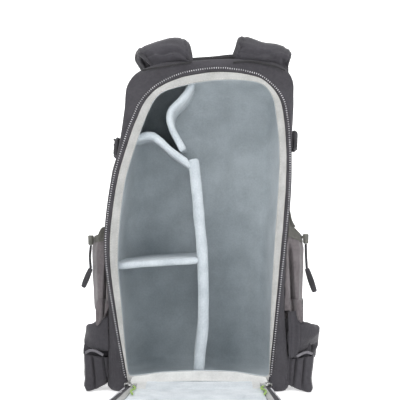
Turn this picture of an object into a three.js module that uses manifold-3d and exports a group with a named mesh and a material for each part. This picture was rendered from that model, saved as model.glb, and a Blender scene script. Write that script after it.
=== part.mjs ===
// Camera backpack standing upright with its rear panel unzipped and folded down.
// Millimetres, +Z up. The opening faces -Y, +X is the viewer's right.
// The origin is the centre of the flat base, on the surface that the bag stands on.
import * as THREE from 'three';
import Module from 'manifold-3d';
import { mergeVertices } from 'three/addons/utils/BufferGeometryUtils.js';

const wasm = await Module();
wasm.setup();

// Driving dimensions
const HALF_WIDTH = 120;
const BODY_HEIGHT = 447;
const BODY_DEPTH = 165;
const TOP_TAPER = 0.2;
const SHELL_WALL = 6;
const LINER_WALL = 4;
const GAP = 0.3;

const BINDING_HEIGHT = 2.6;
const TAPE_THICKNESS = 0.8;
const CHAIN_WIDTH = 3.8;
const CHAIN_HEIGHT = 1.7;
const ZIP_MARGIN = 2.2;

const DIVIDER_THICKNESS = 9;
const SPINE_THICKNESS = 14;
const DIVIDER_SETBACK = 10;

const PANEL_THICKNESS = 10;
const LINING_THICKNESS = 2.4;
const LINING_BEVEL = 4;
const FLAP_BINDING_WIDTH = 10;
const FLAP_MARGIN = 14;

const STRAP_WIDTH = 73;
const STRAP_THICKNESS = 11;
const HANDLE_THICKNESS = 4;
const WEBBING_WIDTH = 25;
const WEBBING_THICKNESS = 1.6;
const WING_THICKNESS = 11;
const SLEEVE_WALL = 2.4;
const POCKET_WALL = 2;
const POCKET_HEIGHT = 206;
const RIM_SHARE = 0.55;
const CORD_DIAMETER = 3.4;
const TAB_WIDTH = 7;
const TAB_THICKNESS = 2.4;
const BUCKLE_LENGTH = 46;
const BUCKLE_WIDTH = 29;
const BUCKLE_THICKNESS = 9;
const SLIDER_LENGTH = 13;
const SLIDER_WIDTH = 9;
const SLIDER_THICKNESS = 4.6;
const SLIDER_MARGIN = 4;
const PULL_CORD_DIAMETER = 2.6;

const Y_RIM = -BODY_DEPTH / 2;
const LEFT = -1;
const RIGHT = 1;

// Turns the rows of a table into records with named columns
function table(columns, rows) {
  return rows.map((row) => Object.fromEntries(columns.map((name, i) => [name, row[i]])));
}

// Rear outline, clockwise from the bottom: outer seam, line of the zip teeth and edge of the opening.
// x in shares of HALF_WIDTH, z in shares of BODY_HEIGHT.
const OUTLINE = table(['outerX', 'outerZ', 'zipX', 'zipZ', 'openX', 'openZ'], [
  [-0.443, 0.000, -0.443, 0.024, -0.443, 0.060],
  [-0.880, 0.000, -0.798, 0.018, -0.776, 0.048],
  [-1.020, 0.022, -0.826, 0.042, -0.798, 0.065],
  [-1.035, 0.080, -0.859, 0.089, -0.815, 0.095],
  [-1.020, 0.274, -0.981, 0.274, -0.876, 0.274],
  [-1.053, 0.378, -1.036, 0.378, -0.911, 0.378],
  [-1.058, 0.467, -1.045, 0.467, -0.900, 0.467],
  [-0.975, 0.616, -0.972, 0.616, -0.839, 0.616],
  [-0.903, 0.696, -0.898, 0.696, -0.759, 0.696],
  [-0.848, 0.854, -0.687, 0.854, -0.543, 0.854],
  [-0.815, 0.905, -0.532, 0.903, -0.432, 0.890],
  [-0.709, 0.948, -0.388, 0.928, -0.310, 0.903],
  [-0.443, 0.976, -0.199, 0.949, -0.155, 0.914],
  [-0.066, 0.984, 0.044, 0.961, 0.055, 0.924],
  [0.277, 0.989, 0.277, 0.964, 0.277, 0.929],
  [0.776, 0.982, 0.643, 0.946, 0.632, 0.923],
  [0.964, 0.957, 0.776, 0.921, 0.743, 0.905],
  [1.042, 0.913, 0.876, 0.894, 0.809, 0.875],
  [1.051, 0.860, 0.948, 0.854, 0.831, 0.845],
  [1.009, 0.720, 0.997, 0.720, 0.884, 0.720],
  [0.983, 0.556, 0.981, 0.556, 0.853, 0.556],
  [0.948, 0.259, 0.868, 0.259, 0.784, 0.259],
  [1.010, 0.065, 0.790, 0.065, 0.770, 0.077],
  [0.985, 0.022, 0.776, 0.033, 0.765, 0.054],
  [0.880, 0.000, 0.743, 0.015, 0.720, 0.046],
  [0.388, 0.000, 0.388, 0.024, 0.388, 0.062],
]);
const SAMPLES_PER_ROW = 2;

// Sections of the body from the rear face forward. depth in shares of the local depth, mix from the
// zip line to the outer seam, width and top in shares of the outline, rise in shares of BODY_HEIGHT.
const SECTIONS = table(['depth', 'mix', 'width', 'top', 'rise'], [
  [0.000, 0.00, 1.000, 1.000, 0.000],
  [0.018, 0.50, 1.000, 1.000, 0.000],
  [0.055, 0.88, 1.000, 1.000, 0.000],
  [0.120, 1.00, 1.000, 1.000, 0.000],
  [0.400, 1.00, 0.995, 0.998, 0.000],
  [0.700, 1.00, 0.975, 0.985, 0.000],
  [0.880, 1.00, 0.930, 0.955, 0.006],
  [0.965, 1.00, 0.865, 0.915, 0.022],
  [1.000, 1.00, 0.770, 0.860, 0.055],
]);
const LIP_SHARE = 0.4;
const BINDING_SHARE = 0.68;
const FIRST_INNER_SECTION = 3;

const point = (x, y, z) => new THREE.Vector3(x, y, z);
const blend = (a, b, share) => a.map((p, i) => p.clone().lerp(b[i], share));
const atY = (ring, y) => ring.map((p) => point(p.x, y, p.z));
const atZ = (ring, z) => ring.map((p) => point(p.x, p.y, z));

// Samples a smooth curve through the points, with the same number of steps between each two
function smooth(points, steps, closed = false) {
  const curve = new THREE.CatmullRomCurve3(points, closed, 'centripetal');
  const count = (closed ? points.length : points.length - 1) * steps;
  const last = closed ? count : count + 1;
  return Array.from({ length: last }, (_, i) => curve.getPoint(i / count));
}

// Moves a flat ring outwards in its own plane, which faces Y or Z
function offset(ring, distance, facing) {
  const up = facing === 'y' ? 'z' : 'y';
  const count = ring.length;
  const next = (i) => ring[(i + 1) % count];
  const area = ring.reduce((sum, p, i) => sum + p.x * next(i)[up] - next(i).x * p[up], 0);
  const turn = Math.sign(area);
  return ring.map((p, i) => {
    const tangent = next(i).clone().sub(ring[(i + count - 1) % count]);
    const length = Math.hypot(tangent.x, tangent[up]);
    const moved = p.clone();
    moved.x += (turn * distance * tangent[up]) / length;
    moved[up] -= (turn * distance * tangent.x) / length;
    return moved;
  });
}

// Makes a geometry whose faces point outwards
function geometryOf(positions, index) {
  let volume = 0;
  const corner = (i) => new THREE.Vector3().fromArray(positions, 3 * i);
  for (let i = 0; i < index.length; i += 3) {
    const [a, b, c] = [corner(index[i]), corner(index[i + 1]), corner(index[i + 2])];
    volume += a.dot(b.cross(c));
  }
  const geometry = new THREE.BufferGeometry();
  geometry.setAttribute('position', new THREE.Float32BufferAttribute(positions, 3));
  geometry.setIndex(volume < 0 ? index.reverse() : index);
  return geometry;
}

// Joins rings of equal length into a skin that closes on itself or ends in two flat caps
function loft(rings, closed = false) {
  const count = rings[0].length;
  const positions = rings.flat().flatMap((p) => [p.x, p.y, p.z]);
  const index = [];
  const spans = closed ? rings.length : rings.length - 1;
  for (let i = 0; i < spans; i += 1) {
    const near = i * count;
    const far = ((i + 1) % rings.length) * count;
    for (let j = 0; j < count; j += 1) {
      const k = (j + 1) % count;
      index.push(near + j, near + k, far + j, near + k, far + k, far + j);
    }
  }
  const cap = (ring, start, flipped) => {
    const centre = ring.reduce((sum, p) => sum.add(p), point(0, 0, 0)).divideScalar(count);
    const hub = positions.length / 3;
    positions.push(centre.x, centre.y, centre.z);
    for (let j = 0; j < count; j += 1) {
      const pair = [start + j, start + ((j + 1) % count)];
      index.push(hub, ...(flipped ? pair.reverse() : pair));
    }
  };
  if (!closed) {
    cap(rings[0], 0, true);
    cap(rings[rings.length - 1], (rings.length - 1) * count, false);
  }
  return geometryOf(positions, index);
}

// Carries a section along a path. Its first number runs across the face, its second along `wide`,
// which is one direction or turns along the path.
function sweep(path, wide, sectionAt) {
  const last = path.length - 1;
  return loft(path.map((p, i) => {
    const tangent = path[Math.min(i + 1, last)].clone().sub(path[Math.max(i - 1, 0)]).normalize();
    const aim = typeof wide === 'function' ? wide(i / last) : wide;
    const along = aim.clone().addScaledVector(tangent, -aim.dot(tangent)).normalize();
    const across = along.clone().cross(tangent);
    return sectionAt(i / last).map(([a, b]) => p.clone().addScaledVector(across, a)
      .addScaledVector(along, b));
  }));
}

// A flat section with softened edges
function slab(thickness, width, soft = thickness / 3) {
  const a = thickness / 2;
  const b = width / 2;
  return [[-a, -b + soft], [-a + soft, -b], [a - soft, -b], [a, -b + soft],
    [a, b - soft], [a - soft, b], [-a + soft, b], [-a, b - soft]];
}

function solidOf(geometry) {
  const shape = geometry.clone();
  shape.deleteAttribute('normal');
  shape.deleteAttribute('uv');
  const merged = mergeVertices(shape, 1e-4);
  return new wasm.Manifold(new wasm.Mesh({
    numProp: 3,
    vertProperties: new Float32Array(merged.attributes.position.array),
    triVerts: new Uint32Array(merged.index.array),
  }));
}

function geometryFrom(solid) {
  const mesh = solid.getMesh();
  const geometry = new THREE.BufferGeometry();
  geometry.setAttribute('position', new THREE.BufferAttribute(mesh.vertProperties, 3));
  geometry.setIndex(new THREE.BufferAttribute(mesh.triVerts, 1));
  return geometry;
}

const without = (geometry, ...cuts) => geometryFrom(
  cuts.reduce((rest, cut) => rest.subtract(cut), solidOf(geometry)));
const within = (geometry, room) => geometryFrom(solidOf(geometry).intersect(room));

const group = new THREE.Group();

function material(color, roughness, metalness = 0) {
  return new THREE.MeshStandardMaterial({ color, roughness, metalness });
}
const NYLON = material(0x48464b, 0.85);
const LINING = material(0xb4c0c7, 0.9);
const BINDING = material(0xcfccc6, 0.85);
const TAPE = material(0x2f2e31, 0.85);
const TEETH = material(0x8d8c8e, 0.45);
const STRETCH = material(0x706769, 0.9);
const OLIVE = material(0x5f5d56, 0.85);
const PLASTIC = material(0x35353a, 0.5);
const GREEN = material(0x9bbf5a, 0.7);
const METAL = material(0xb9b9b8, 0.3, 0.9);

function add(name, geometry, finish) {
  const mesh = new THREE.Mesh(geometry, finish);
  mesh.name = name;
  group.add(mesh);
}

// The three rings of the rear face
function outlineRing(kind) {
  const corners = OUTLINE.map((row) => point(row[`${kind}X`] * HALF_WIDTH, 0,
    row[`${kind}Z`] * BODY_HEIGHT));
  return smooth(corners, SAMPLES_PER_ROW, true);
}
const openRing = outlineRing('open');
const zipRing = outlineRing('zip');
const zipEdge = offset(zipRing, ZIP_MARGIN, 'y');
const outerRing = outlineRing('outer').map((p, i) => {
  const normal = zipEdge[i].clone().sub(zipRing[i]).normalize();
  const reach = p.clone().sub(zipEdge[i]).dot(normal);
  const seat = reach < 0.2 ? zipEdge[i].clone().addScaledVector(normal, 0.2) : p;
  return point(seat.x, 0, Math.max(0, seat.z));
});
const band = (share) => blend(openRing, zipRing, share);

const depthAt = (z) => BODY_DEPTH * (1 - TOP_TAPER * (Math.max(0, z) / BODY_HEIGHT) ** 1.5);

// One section of the body, moved inwards by a wall or outwards by a clearance
function bodyRing(section, inset) {
  const edge = blend(zipEdge, outerRing, section.mix);
  const rise = section.rise * BODY_HEIGHT;
  const shaped = edge.map((p) => point(p.x * section.width, 0,
    rise + (p.z / BODY_HEIGHT) * (BODY_HEIGHT * section.top - rise)));
  return offset(shaped, -inset, 'y').map((p) => point(p.x,
    Y_RIM + section.depth * (depthAt(p.z) - inset), Math.max(p.z, rise + inset)));
}

// The body as a full form, for seating what lies on it
function bodyForm(clearance) {
  return solidOf(loft(SECTIONS.map((section, i) => {
    const back = i <= FIRST_INNER_SECTION ? 2 * clearance : 0;
    return bodyRing(section, -clearance).map((p) => point(p.x, p.y - back, p.z));
  })));
}
const body = bodyForm(GAP);

function makeShell() {
  const outer = SECTIONS.map((section) => bodyRing(section, 0));
  const lip = band(LIP_SHARE);
  const inner = SECTIONS.slice(FIRST_INNER_SECTION).map((section) => bodyRing(section, SHELL_WALL));
  add('bag_shell', loft([...inner.reverse(), atY(lip, Y_RIM + SHELL_WALL), atY(lip, Y_RIM), ...outer]), NYLON);
}

// The first ring of the lining stands off from the slope behind the shell's lip
function linerRings(inset) {
  const rings = SECTIONS.slice(FIRST_INNER_SECTION).map((section) => bodyRing(section, inset));
  rings[0] = rings[0].map((p) => point(p.x, p.y + 2 * GAP, p.z));
  return rings;
}

function makeLiner() {
  const seat = offset(band(LIP_SHARE), -2 * GAP, 'y');
  const edge = offset(openRing, GAP, 'y');
  const outer = linerRings(SHELL_WALL + 2 * GAP).reverse();
  const inner = linerRings(SHELL_WALL + 2 * GAP + LINER_WALL);
  add('liner', loft([...outer, atY(seat, Y_RIM + SHELL_WALL + GAP), atY(seat, Y_RIM),
    atY(edge, Y_RIM), atY(edge, Y_RIM + SHELL_WALL + LINER_WALL), ...inner]), LINING);
}

// The room inside the lining, kept clear of it, where the dividers stand
function roomInside() {
  const clearance = GAP + 0.1;
  const edge = offset(openRing, GAP - clearance, 'y');
  return solidOf(loft([atY(edge, Y_RIM), atY(edge, Y_RIM + SHELL_WALL + LINER_WALL),
    ...linerRings(SHELL_WALL + 2 * GAP + LINER_WALL + clearance)]));
}

function makeRim() {
  const front = Y_RIM - GAP;
  const crown = front - BINDING_HEIGHT;
  const shoulder = front - BINDING_HEIGHT * 0.6;
  const outer = openRing.map((p, i) => {
    const outwards = zipEdge[i].clone().sub(zipRing[i]).normalize();
    const free = 1 - (CHAIN_WIDTH / 2 + 3 * GAP) / zipRing[i].clone().sub(p).dot(outwards);
    return p.clone().lerp(zipRing[i], Math.min(BINDING_SHARE, free));
  });
  const across = (share) => blend(openRing, outer, share);
  add('opening_binding', loft([atY(openRing, front), atY(openRing, shoulder), atY(across(0.2), crown),
    atY(across(0.8), crown), atY(outer, shoulder), atY(outer, front)], true), BINDING);

  const tapeTop = front - TAPE_THICKNESS;
  const rings = [offset(outer, GAP, 'y'), offset(zipRing, ZIP_MARGIN - GAP, 'y')];
  const chain = [offset(zipRing, -CHAIN_WIDTH / 2, 'y'), offset(zipRing, CHAIN_WIDTH / 2, 'y')];
  const start = PANEL_THICKNESS + LINING_THICKNESS + BINDING_HEIGHT + 3;
  const from = zipRing.findIndex((p) => p.z > start);
  const to = zipRing.findLastIndex((p) => p.z > start);
  const strip = ([inside, outside], low, high) => loft(Array.from({ length: to - from + 1 }, (_, k) => {
    const [a, b] = [inside[from + k], outside[from + k]];
    return [point(a.x, low, a.z), point(b.x, low, b.z), point(b.x, high, b.z), point(a.x, high, a.z)];
  }));
  add('zip_tape', strip(rings, front, tapeTop), TAPE);
  add('zip_chain', strip(chain, tapeTop - GAP, tapeTop - GAP - CHAIN_HEIGHT), TEETH);
}

// Dividers: paths in shares of HALF_WIDTH and BODY_HEIGHT, seen from the opening
const DIVIDERS = {
  crown: [[-0.10, 0.955], [-0.10, 0.915], [-0.222, 0.869], [-0.318, 0.845], [-0.343, 0.815],
    [-0.305, 0.780], [-0.244, 0.750], [-0.188, 0.722]],
  diagonal: [[-0.90, 0.740], [-0.665, 0.762], [-0.532, 0.766], [-0.340, 0.722], [-0.060, 0.668]],
  spine: [[-0.080, 0.694], [-0.050, 0.640], [-0.018, 0.545], [0.020, 0.428], [0.036, 0.340],
    [0.040, 0.250], [0.030, 0.170], [0.000, 0.110], [-0.020, 0.000]],
  cross: [[-1.10, 0.360], [-0.909, 0.372], [-0.500, 0.382], [-0.100, 0.388], [0.030, 0.390]],
};

function dividerForm(name, thickness) {
  const path = smooth(DIVIDERS[name].map(([x, z]) => point(x * HALF_WIDTH, 0, z * BODY_HEIGHT)), 2);
  const from = Y_RIM + DIVIDER_SETBACK;
  const centre = (from + BODY_DEPTH / 2) / 2;
  const width = BODY_DEPTH / 2 - from;
  const placed = path.map((p) => point(p.x, centre, p.z));
  return sweep(placed, point(0, 1, 0), () => slab(thickness, width));
}

function makeDividers() {
  const room = roomInside();
  const spine = dividerForm('spine', SPINE_THICKNESS);
  const nearSpine = solidOf(dividerForm('spine', SPINE_THICKNESS + 2 * GAP));
  const diagonal = dividerForm('diagonal', DIVIDER_THICKNESS);
  const nearDiagonal = solidOf(dividerForm('diagonal', DIVIDER_THICKNESS + 2 * GAP));
  add('divider_spine', within(spine, room), LINING);
  add('divider_diagonal', geometryFrom(solidOf(diagonal).intersect(room).subtract(nearSpine)), LINING);
  add('divider_crown', geometryFrom(solidOf(dividerForm('crown', DIVIDER_THICKNESS))
    .intersect(room).subtract(nearDiagonal)), LINING);
  add('divider_cross', geometryFrom(solidOf(dividerForm('cross', DIVIDER_THICKNESS))
    .intersect(room).subtract(nearSpine)), LINING);
}

// Rear panel, folded down: its outline is the zip line laid on the ground in front of the body
function makeFlap() {
  const hinge = Math.min(...zipRing.map((p) => p.z));
  const laid = zipRing.map((p) => point(p.x, Y_RIM - 2 * GAP - (p.z - hinge), 0));
  const hub = laid.reduce((sum, p) => sum.add(p), point(0, 0, 0)).divideScalar(laid.length);
  const outwards = offset(laid, 1, 'z').map((p, i) => p.sub(laid[i]));
  // Every point moves towards the middle, so the rings don't cross at the corners
  const inside = (margin) => laid.map((p, i) => {
    const inwards = hub.clone().sub(p).normalize();
    const lean = Math.max(0.75, -inwards.dot(outwards[i]));
    return p.clone().addScaledVector(inwards, margin / lean);
  });
  const rim = (margin) => inside(margin).map((p) => point(p.x,
    Math.min(p.y, Y_RIM - 2 * GAP - margin / 8), 0));
  const soft = PANEL_THICKNESS * 0.3;
  add('flap_panel', loft([atZ(rim(soft), 0), atZ(rim(0), soft), atZ(rim(0), PANEL_THICKNESS - soft),
    atZ(rim(soft), PANEL_THICKNESS)]), NYLON);

  const floor = PANEL_THICKNESS + GAP;
  const crest = floor + BINDING_HEIGHT;
  const inner = FLAP_MARGIN + FLAP_BINDING_WIDTH;
  add('flap_binding', loft([atZ(inside(FLAP_MARGIN), floor), atZ(inside(FLAP_MARGIN), crest - 1),
    atZ(inside(FLAP_MARGIN + 2), crest), atZ(inside(inner - 2), crest),
    atZ(inside(inner), crest - 1), atZ(inside(inner), floor)], true), BINDING);
  const lining = inner + GAP;
  add('flap_lining', loft([atZ(inside(lining), floor), atZ(inside(lining), floor + LINING_THICKNESS * 0.5),
    atZ(inside(lining + LINING_BEVEL), floor + LINING_THICKNESS)]), LINING);

  const edge = [inside(soft + CHAIN_WIDTH), inside(soft)];
  const start = hinge + SLIDER_LENGTH + SLIDER_MARGIN;
  const from = zipRing.findIndex((p) => p.z > start);
  const to = zipRing.findLastIndex((p) => p.z > start);
  add('flap_zip_chain', loft(Array.from({ length: to - from + 1 }, (_, k) => {
    const [a, b] = [edge[0][from + k], edge[1][from + k]];
    return [point(a.x, a.y, floor), point(b.x, b.y, floor), point(b.x, b.y, floor + CHAIN_HEIGHT),
      point(a.x, a.y, floor + CHAIN_HEIGHT)];
  })), TEETH);
}

// Shoulder straps: from the top rear seam over the top and down the front.
// x in shares of HALF_WIDTH, y in shares of the body's depth from its rear face, z in shares of BODY_HEIGHT.
const STRAP_ROUTES = {
  left: {
    tilt: 17,
    route: table(['x', 'y', 'z'], [[-0.375, 0.060, 0.930], [-0.380, 0.045, 1.000], [-0.405, 0.120, 1.038],
      [-0.435, 0.270, 1.044], [-0.480, 0.470, 1.016], [-0.530, 0.680, 0.976], [-0.575, 0.860, 0.900],
      [-0.590, 0.950, 0.780], [-0.600, 0.995, 0.600], [-0.600, 1.035, 0.420]]),
  },
  right: {
    tilt: -11,
    route: table(['x', 'y', 'z'], [[0.680, 0.060, 0.930], [0.690, 0.045, 1.000], [0.725, 0.120, 1.040],
      [0.735, 0.270, 1.046], [0.720, 0.470, 1.018], [0.690, 0.680, 0.978], [0.655, 0.860, 0.900],
      [0.635, 0.950, 0.780], [0.620, 0.995, 0.600], [0.610, 1.035, 0.420]]),
  },
};
const inBody = (row) => point(row.x * HALF_WIDTH, Y_RIM + row.y * BODY_DEPTH, row.z * BODY_HEIGHT);
const onSideways = (row, side) => inBody({ ...row, x: side * row.x });

function makeStrap(name, { route, tilt }) {
  const angle = THREE.MathUtils.degToRad(tilt);
  const wide = point(Math.cos(angle), 0, Math.sin(angle));
  const path = smooth(route.map(inBody), 2);
  const strap = sweep(path, wide, () => slab(STRAP_THICKNESS, STRAP_WIDTH));
  add(`shoulder_strap_${name}`, without(strap, body), NYLON);
}

function makeHandle() {
  const ends = table(['x', 'y', 'z'], [[-0.020, 0.110, 0.950], [-0.010, 0.110, 0.985], [0.060, 0.110, 0.997],
    [0.180, 0.110, 1.000], [0.330, 0.110, 0.997], [0.360, 0.110, 0.955]]);
  const strap = sweep(smooth(ends.map(inBody), 3), point(0, 1, 0), () => slab(HANDLE_THICKNESS, WEBBING_WIDTH));
  add('grab_handle', without(strap, body), NYLON);
}

// The reach of a ring at one height on its left or right side
function sideReach(ring, side, z) {
  const crossings = ring.map((p, i) => {
    const next = ring[(i + 1) % ring.length];
    const share = (z - p.z) / (next.z - p.z);
    return share >= 0 && share <= 1 ? side * (p.x + share * (next.x - p.x)) : 0;
  });
  return Math.max(...crossings);
}

// A point that stands off the body's side, at a share of its depth
function onSide(side, depth, z, stand) {
  const k = SECTIONS.findIndex((section) => section.depth >= depth);
  const [near, far] = [SECTIONS[Math.max(k - 1, 0)], SECTIONS[k]];
  const share = k > 0 ? (depth - near.depth) / (far.depth - near.depth) : 0;
  const [a, b] = [near, far].map((section) => sideReach(bodyRing(section, 0), side, z));
  const reach = THREE.MathUtils.lerp(a, b, share);
  return point(side * (reach + stand), Y_RIM + depth * depthAt(z), z);
}

// Folded hip wings: middle line and edges, from the side seam out and back along the side
const WING = table(['x', 'y', 'top', 'bottom'], [
  [0.930, 0.070, 0.237, 0.112],
  [1.070, 0.060, 0.219, 0.114],
  [1.175, 0.095, 0.206, 0.122],
  [1.240, 0.190, 0.196, 0.128],
  [1.245, 0.340, 0.189, 0.100],
  [1.242, 0.580, 0.178, 0.056],
  [1.238, 0.860, 0.165, 0.067],
]);

function makeWing(name, side, spread) {
  const middle = WING.map((row) => point(side * row.x * HALF_WIDTH * spread, Y_RIM + row.y * BODY_DEPTH,
    ((row.top + row.bottom) / 2) * BODY_HEIGHT));
  const widths = WING.map((row) => point((row.top - row.bottom) * BODY_HEIGHT, 0, 0));
  const steps = 2;
  const path = smooth(middle, steps);
  const wide = smooth(widths, steps);
  const section = (share) => slab(WING_THICKNESS, wide[Math.round(share * (wide.length - 1))].x);
  add(`hip_wing_${name}`, without(sweep(path, point(0, 0, 1), section), body), NYLON);
}

// Stow sleeves at the lower corners: inner and outer reach in shares of HALF_WIDTH, z of BODY_HEIGHT
const SLEEVES = {
  left: table(['z', 'inner', 'outer'], [[0.008, 1.130, 1.240], [0.020, 1.040, 1.285], [0.045, 1.005, 1.298],
    [0.075, 1.005, 1.300], [0.099, 1.015, 1.305]]),
  right: table(['z', 'inner', 'outer'], [[0.004, 1.090, 1.210], [0.012, 1.010, 1.240], [0.040, 0.972, 1.255],
    [0.072, 0.976, 1.272], [0.095, 0.985, 1.285]]),
};
const SLEEVE_SPAN = { rear: 0.03, front: 0.25 };
const SLEEVE_TOP_SLOPE = 5;
const ROUND_PLAN = table(['x', 'y'], [[0, 0.2], [0.15, 0.04], [0.4, 0], [0.7, 0], [0.92, 0.06], [1, 0.3],
  [1, 0.7], [0.92, 0.94], [0.7, 1], [0.4, 1], [0.15, 0.96], [0, 0.8]]);

// An open-topped bucket of cloth: its outer rings from the bottom up, and one wall
function bucket(rings, wall) {
  const inner = rings.map((ring) => offset(ring, -wall, 'z')).reverse();
  const floor = inner.pop().map((p) => point(p.x, p.y, p.z + wall));
  return loft([...rings, ...inner, floor]);
}

function makeSleeve(name, side) {
  const rows = SLEEVES[name];
  const rings = rows.map((row, i) => ROUND_PLAN.map((corner) => {
    const x = THREE.MathUtils.lerp(row.inner, row.outer, corner.x) * HALF_WIDTH;
    const y = THREE.MathUtils.lerp(SLEEVE_SPAN.rear, SLEEVE_SPAN.front, corner.y) * BODY_DEPTH;
    const slope = i === rows.length - 1 ? corner.x * SLEEVE_TOP_SLOPE : 0;
    return point(side * x, Y_RIM + y, row.z * BODY_HEIGHT + slope);
  }));
  add(`belt_sleeve_${name}`, without(bucket(rings, SLEEVE_WALL), body), NYLON);
}

// Stretch side pockets: reach in shares of HALF_WIDTH, z in shares of POCKET_HEIGHT, ends in shares of depth
const POCKET_ROWS = table(['z', 'reach', 'rear', 'front'], [
  [0.10, 0.920, 0.40, 0.82],
  [0.14, 0.945, 0.36, 0.86],
  [0.30, 0.955, 0.34, 0.88],
  [0.47, 0.960, 0.30, 0.90],
  [0.52, 1.000, 0.04, 0.92],
  [0.74, 1.015, 0.03, 0.93],
  [0.92, 1.020, 0.03, 0.93],
  [1.00, 0.995, 0.03, 0.92],
]);
const POCKET_PLAN = table(['bulge', 'along'], [[0, 0], [0.52, 0], [0.62, 0.05], [0.84, 0.08], [1, 0.22],
  [1, 0.5], [0.98, 0.72], [0.84, 0.92], [0.5, 1], [0, 1]]);
const POCKET_ROOT = 0.8;

function pocketRing(row, side, reach, slope) {
  return POCKET_PLAN.map(({ bulge, along }) => point(
    side * THREE.MathUtils.lerp(POCKET_ROOT, reach * row.reach, bulge) * HALF_WIDTH,
    Y_RIM + THREE.MathUtils.lerp(row.rear, row.front, along) * BODY_DEPTH,
    row.z * POCKET_HEIGHT + slope * (1 - bulge)));
}

function makePocket(name, { side, reach, slope }) {
  const last = POCKET_ROWS.length - 1;
  const rings = POCKET_ROWS.map((row, i) => pocketRing(row, side, reach, i === last ? slope : 0));
  add(`side_pocket_${name}`, without(bucket(rings, POCKET_WALL), body), STRETCH);
  const top = rings[last];
  const low = blend(top, rings[last - 1], RIM_SHARE);
  const [near, far] = [GAP * 2, GAP * 2 + 1.6];
  const rim = loft([offset(low, near, 'z'), offset(low, far, 'z'), offset(top, far, 'z'),
    offset(top, near, 'z')], true);
  add(`pocket_rim_${name}`, without(rim, body), OLIVE);
}

// Cord locks, their cords and pull tabs, hanging beside the pockets
const disc = (radius, sides) => new THREE.Shape(Array.from({ length: sides }, (_, i) => {
  const angle = (2 * Math.PI * i) / sides;
  return new THREE.Vector2(radius * Math.cos(angle), radius * Math.sin(angle));
}));
function tube(points, diameter, steps) {
  const path = new THREE.CatmullRomCurve3(points, false, 'centripetal');
  return new THREE.ExtrudeGeometry(disc(diameter / 2, 8), { steps, bevelEnabled: false, extrudePath: path });
}

// x in shares of HALF_WIDTH, y of the body's depth, z of POCKET_HEIGHT: the lock, the cord's middle
// and lower end, and the end of the tab
const HANGING = {
  left: table(['x', 'y', 'z'], [[1.232, 0.148, 0.976], [1.242, 0.142, 0.864], [1.232, 0.136, 0.791],
    [1.314, 0.124, 0.670]]),
  right: table(['x', 'y', 'z'], [[1.194, 0.148, 0.985], [1.196, 0.142, 0.879], [1.204, 0.136, 0.791],
    [1.290, 0.124, 0.640]]),
};
const LOCK_HEIGHT = 13;
const LOCK_RADIUS = 4.2;

function makeHanging(name, side) {
  const [lock, middle, start, end] = HANGING[name].map((row) => point(side * row.x * HALF_WIDTH,
    Y_RIM + row.y * BODY_DEPTH, row.z * POCKET_HEIGHT));
  const barrel = new THREE.CylinderGeometry(LOCK_RADIUS, LOCK_RADIUS * 0.9, LOCK_HEIGHT, 10);
  barrel.rotateX(Math.PI / 2);
  barrel.translate(lock.x, lock.y, lock.z);
  add(`cord_lock_${name}`, barrel, PLASTIC);
  const mouth = point(lock.x, lock.y, lock.z - LOCK_HEIGHT / 2 - GAP);
  add(`pocket_cord_${name}`, tube([mouth, middle, start], CORD_DIAMETER, 6), PLASTIC);
  const away = end.clone().sub(start).normalize().multiplyScalar(GAP + 0.4);
  const tab = [start.clone().add(away), start.clone().lerp(end, 0.5), end];
  add(`cord_tab_${name}`, sweep(smooth(tab, 2), point(1, -0.5, 0), (share) => slab(TAB_THICKNESS,
    TAB_WIDTH * (0.65 + 0.35 * Math.sin(Math.PI * Math.min(share * 0.9, 1))))), PLASTIC);
}

// Side compression straps with a buckle near the rear edge
const COMPRESSION = { left: { side: LEFT, z: 0.729 }, right: { side: RIGHT, z: 0.750 } };
const COMPRESSION_ENDS = { rear: 0.06, front: 0.78 };
const BUCKLE_CENTRE = 0.22;

function makeCompression(name, { side, z }) {
  const height = z * BODY_HEIGHT;
  const low = onSide(side, 0.4, height - BUCKLE_WIDTH / 2, 0);
  const wide = onSide(side, 0.4, height + BUCKLE_WIDTH / 2, 0).sub(low).normalize();
  const { rear, front } = COMPRESSION_ENDS;
  const stops = [0, 0.25, 0.5, 0.75, 1].map((share) => THREE.MathUtils.lerp(rear, front, share));
  const stand = GAP + WEBBING_THICKNESS / 2 + 0.2;
  const strap = sweep(stops.map((depth) => onSide(side, depth, height, stand)), wide,
    () => slab(WEBBING_THICKNESS, WEBBING_WIDTH * 0.8));
  add(`compression_strap_${name}`, without(strap, body), NYLON);

  const lift = stand + WEBBING_THICKNESS / 2 + GAP + BUCKLE_THICKNESS / 2;
  const centre = onSide(side, BUCKLE_CENTRE, height, lift);
  const ahead = onSide(side, BUCKLE_CENTRE + 0.1, height, lift).sub(centre).normalize();
  const reach = BUCKLE_LENGTH / 2;
  const stations = [-1, -0.5, -0.35, 0.35, 0.5, 1]
    .map((share) => centre.clone().addScaledVector(ahead, share * reach));
  const widths = [0.78, 0.78, 1, 1, 0.78, 0.78];
  add(`compression_buckle_${name}`, sweep(stations, wide, (share) => slab(BUCKLE_THICKNESS,
    BUCKLE_WIDTH * widths[Math.round(share * (widths.length - 1))], 2)), PLASTIC);
}

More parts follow.
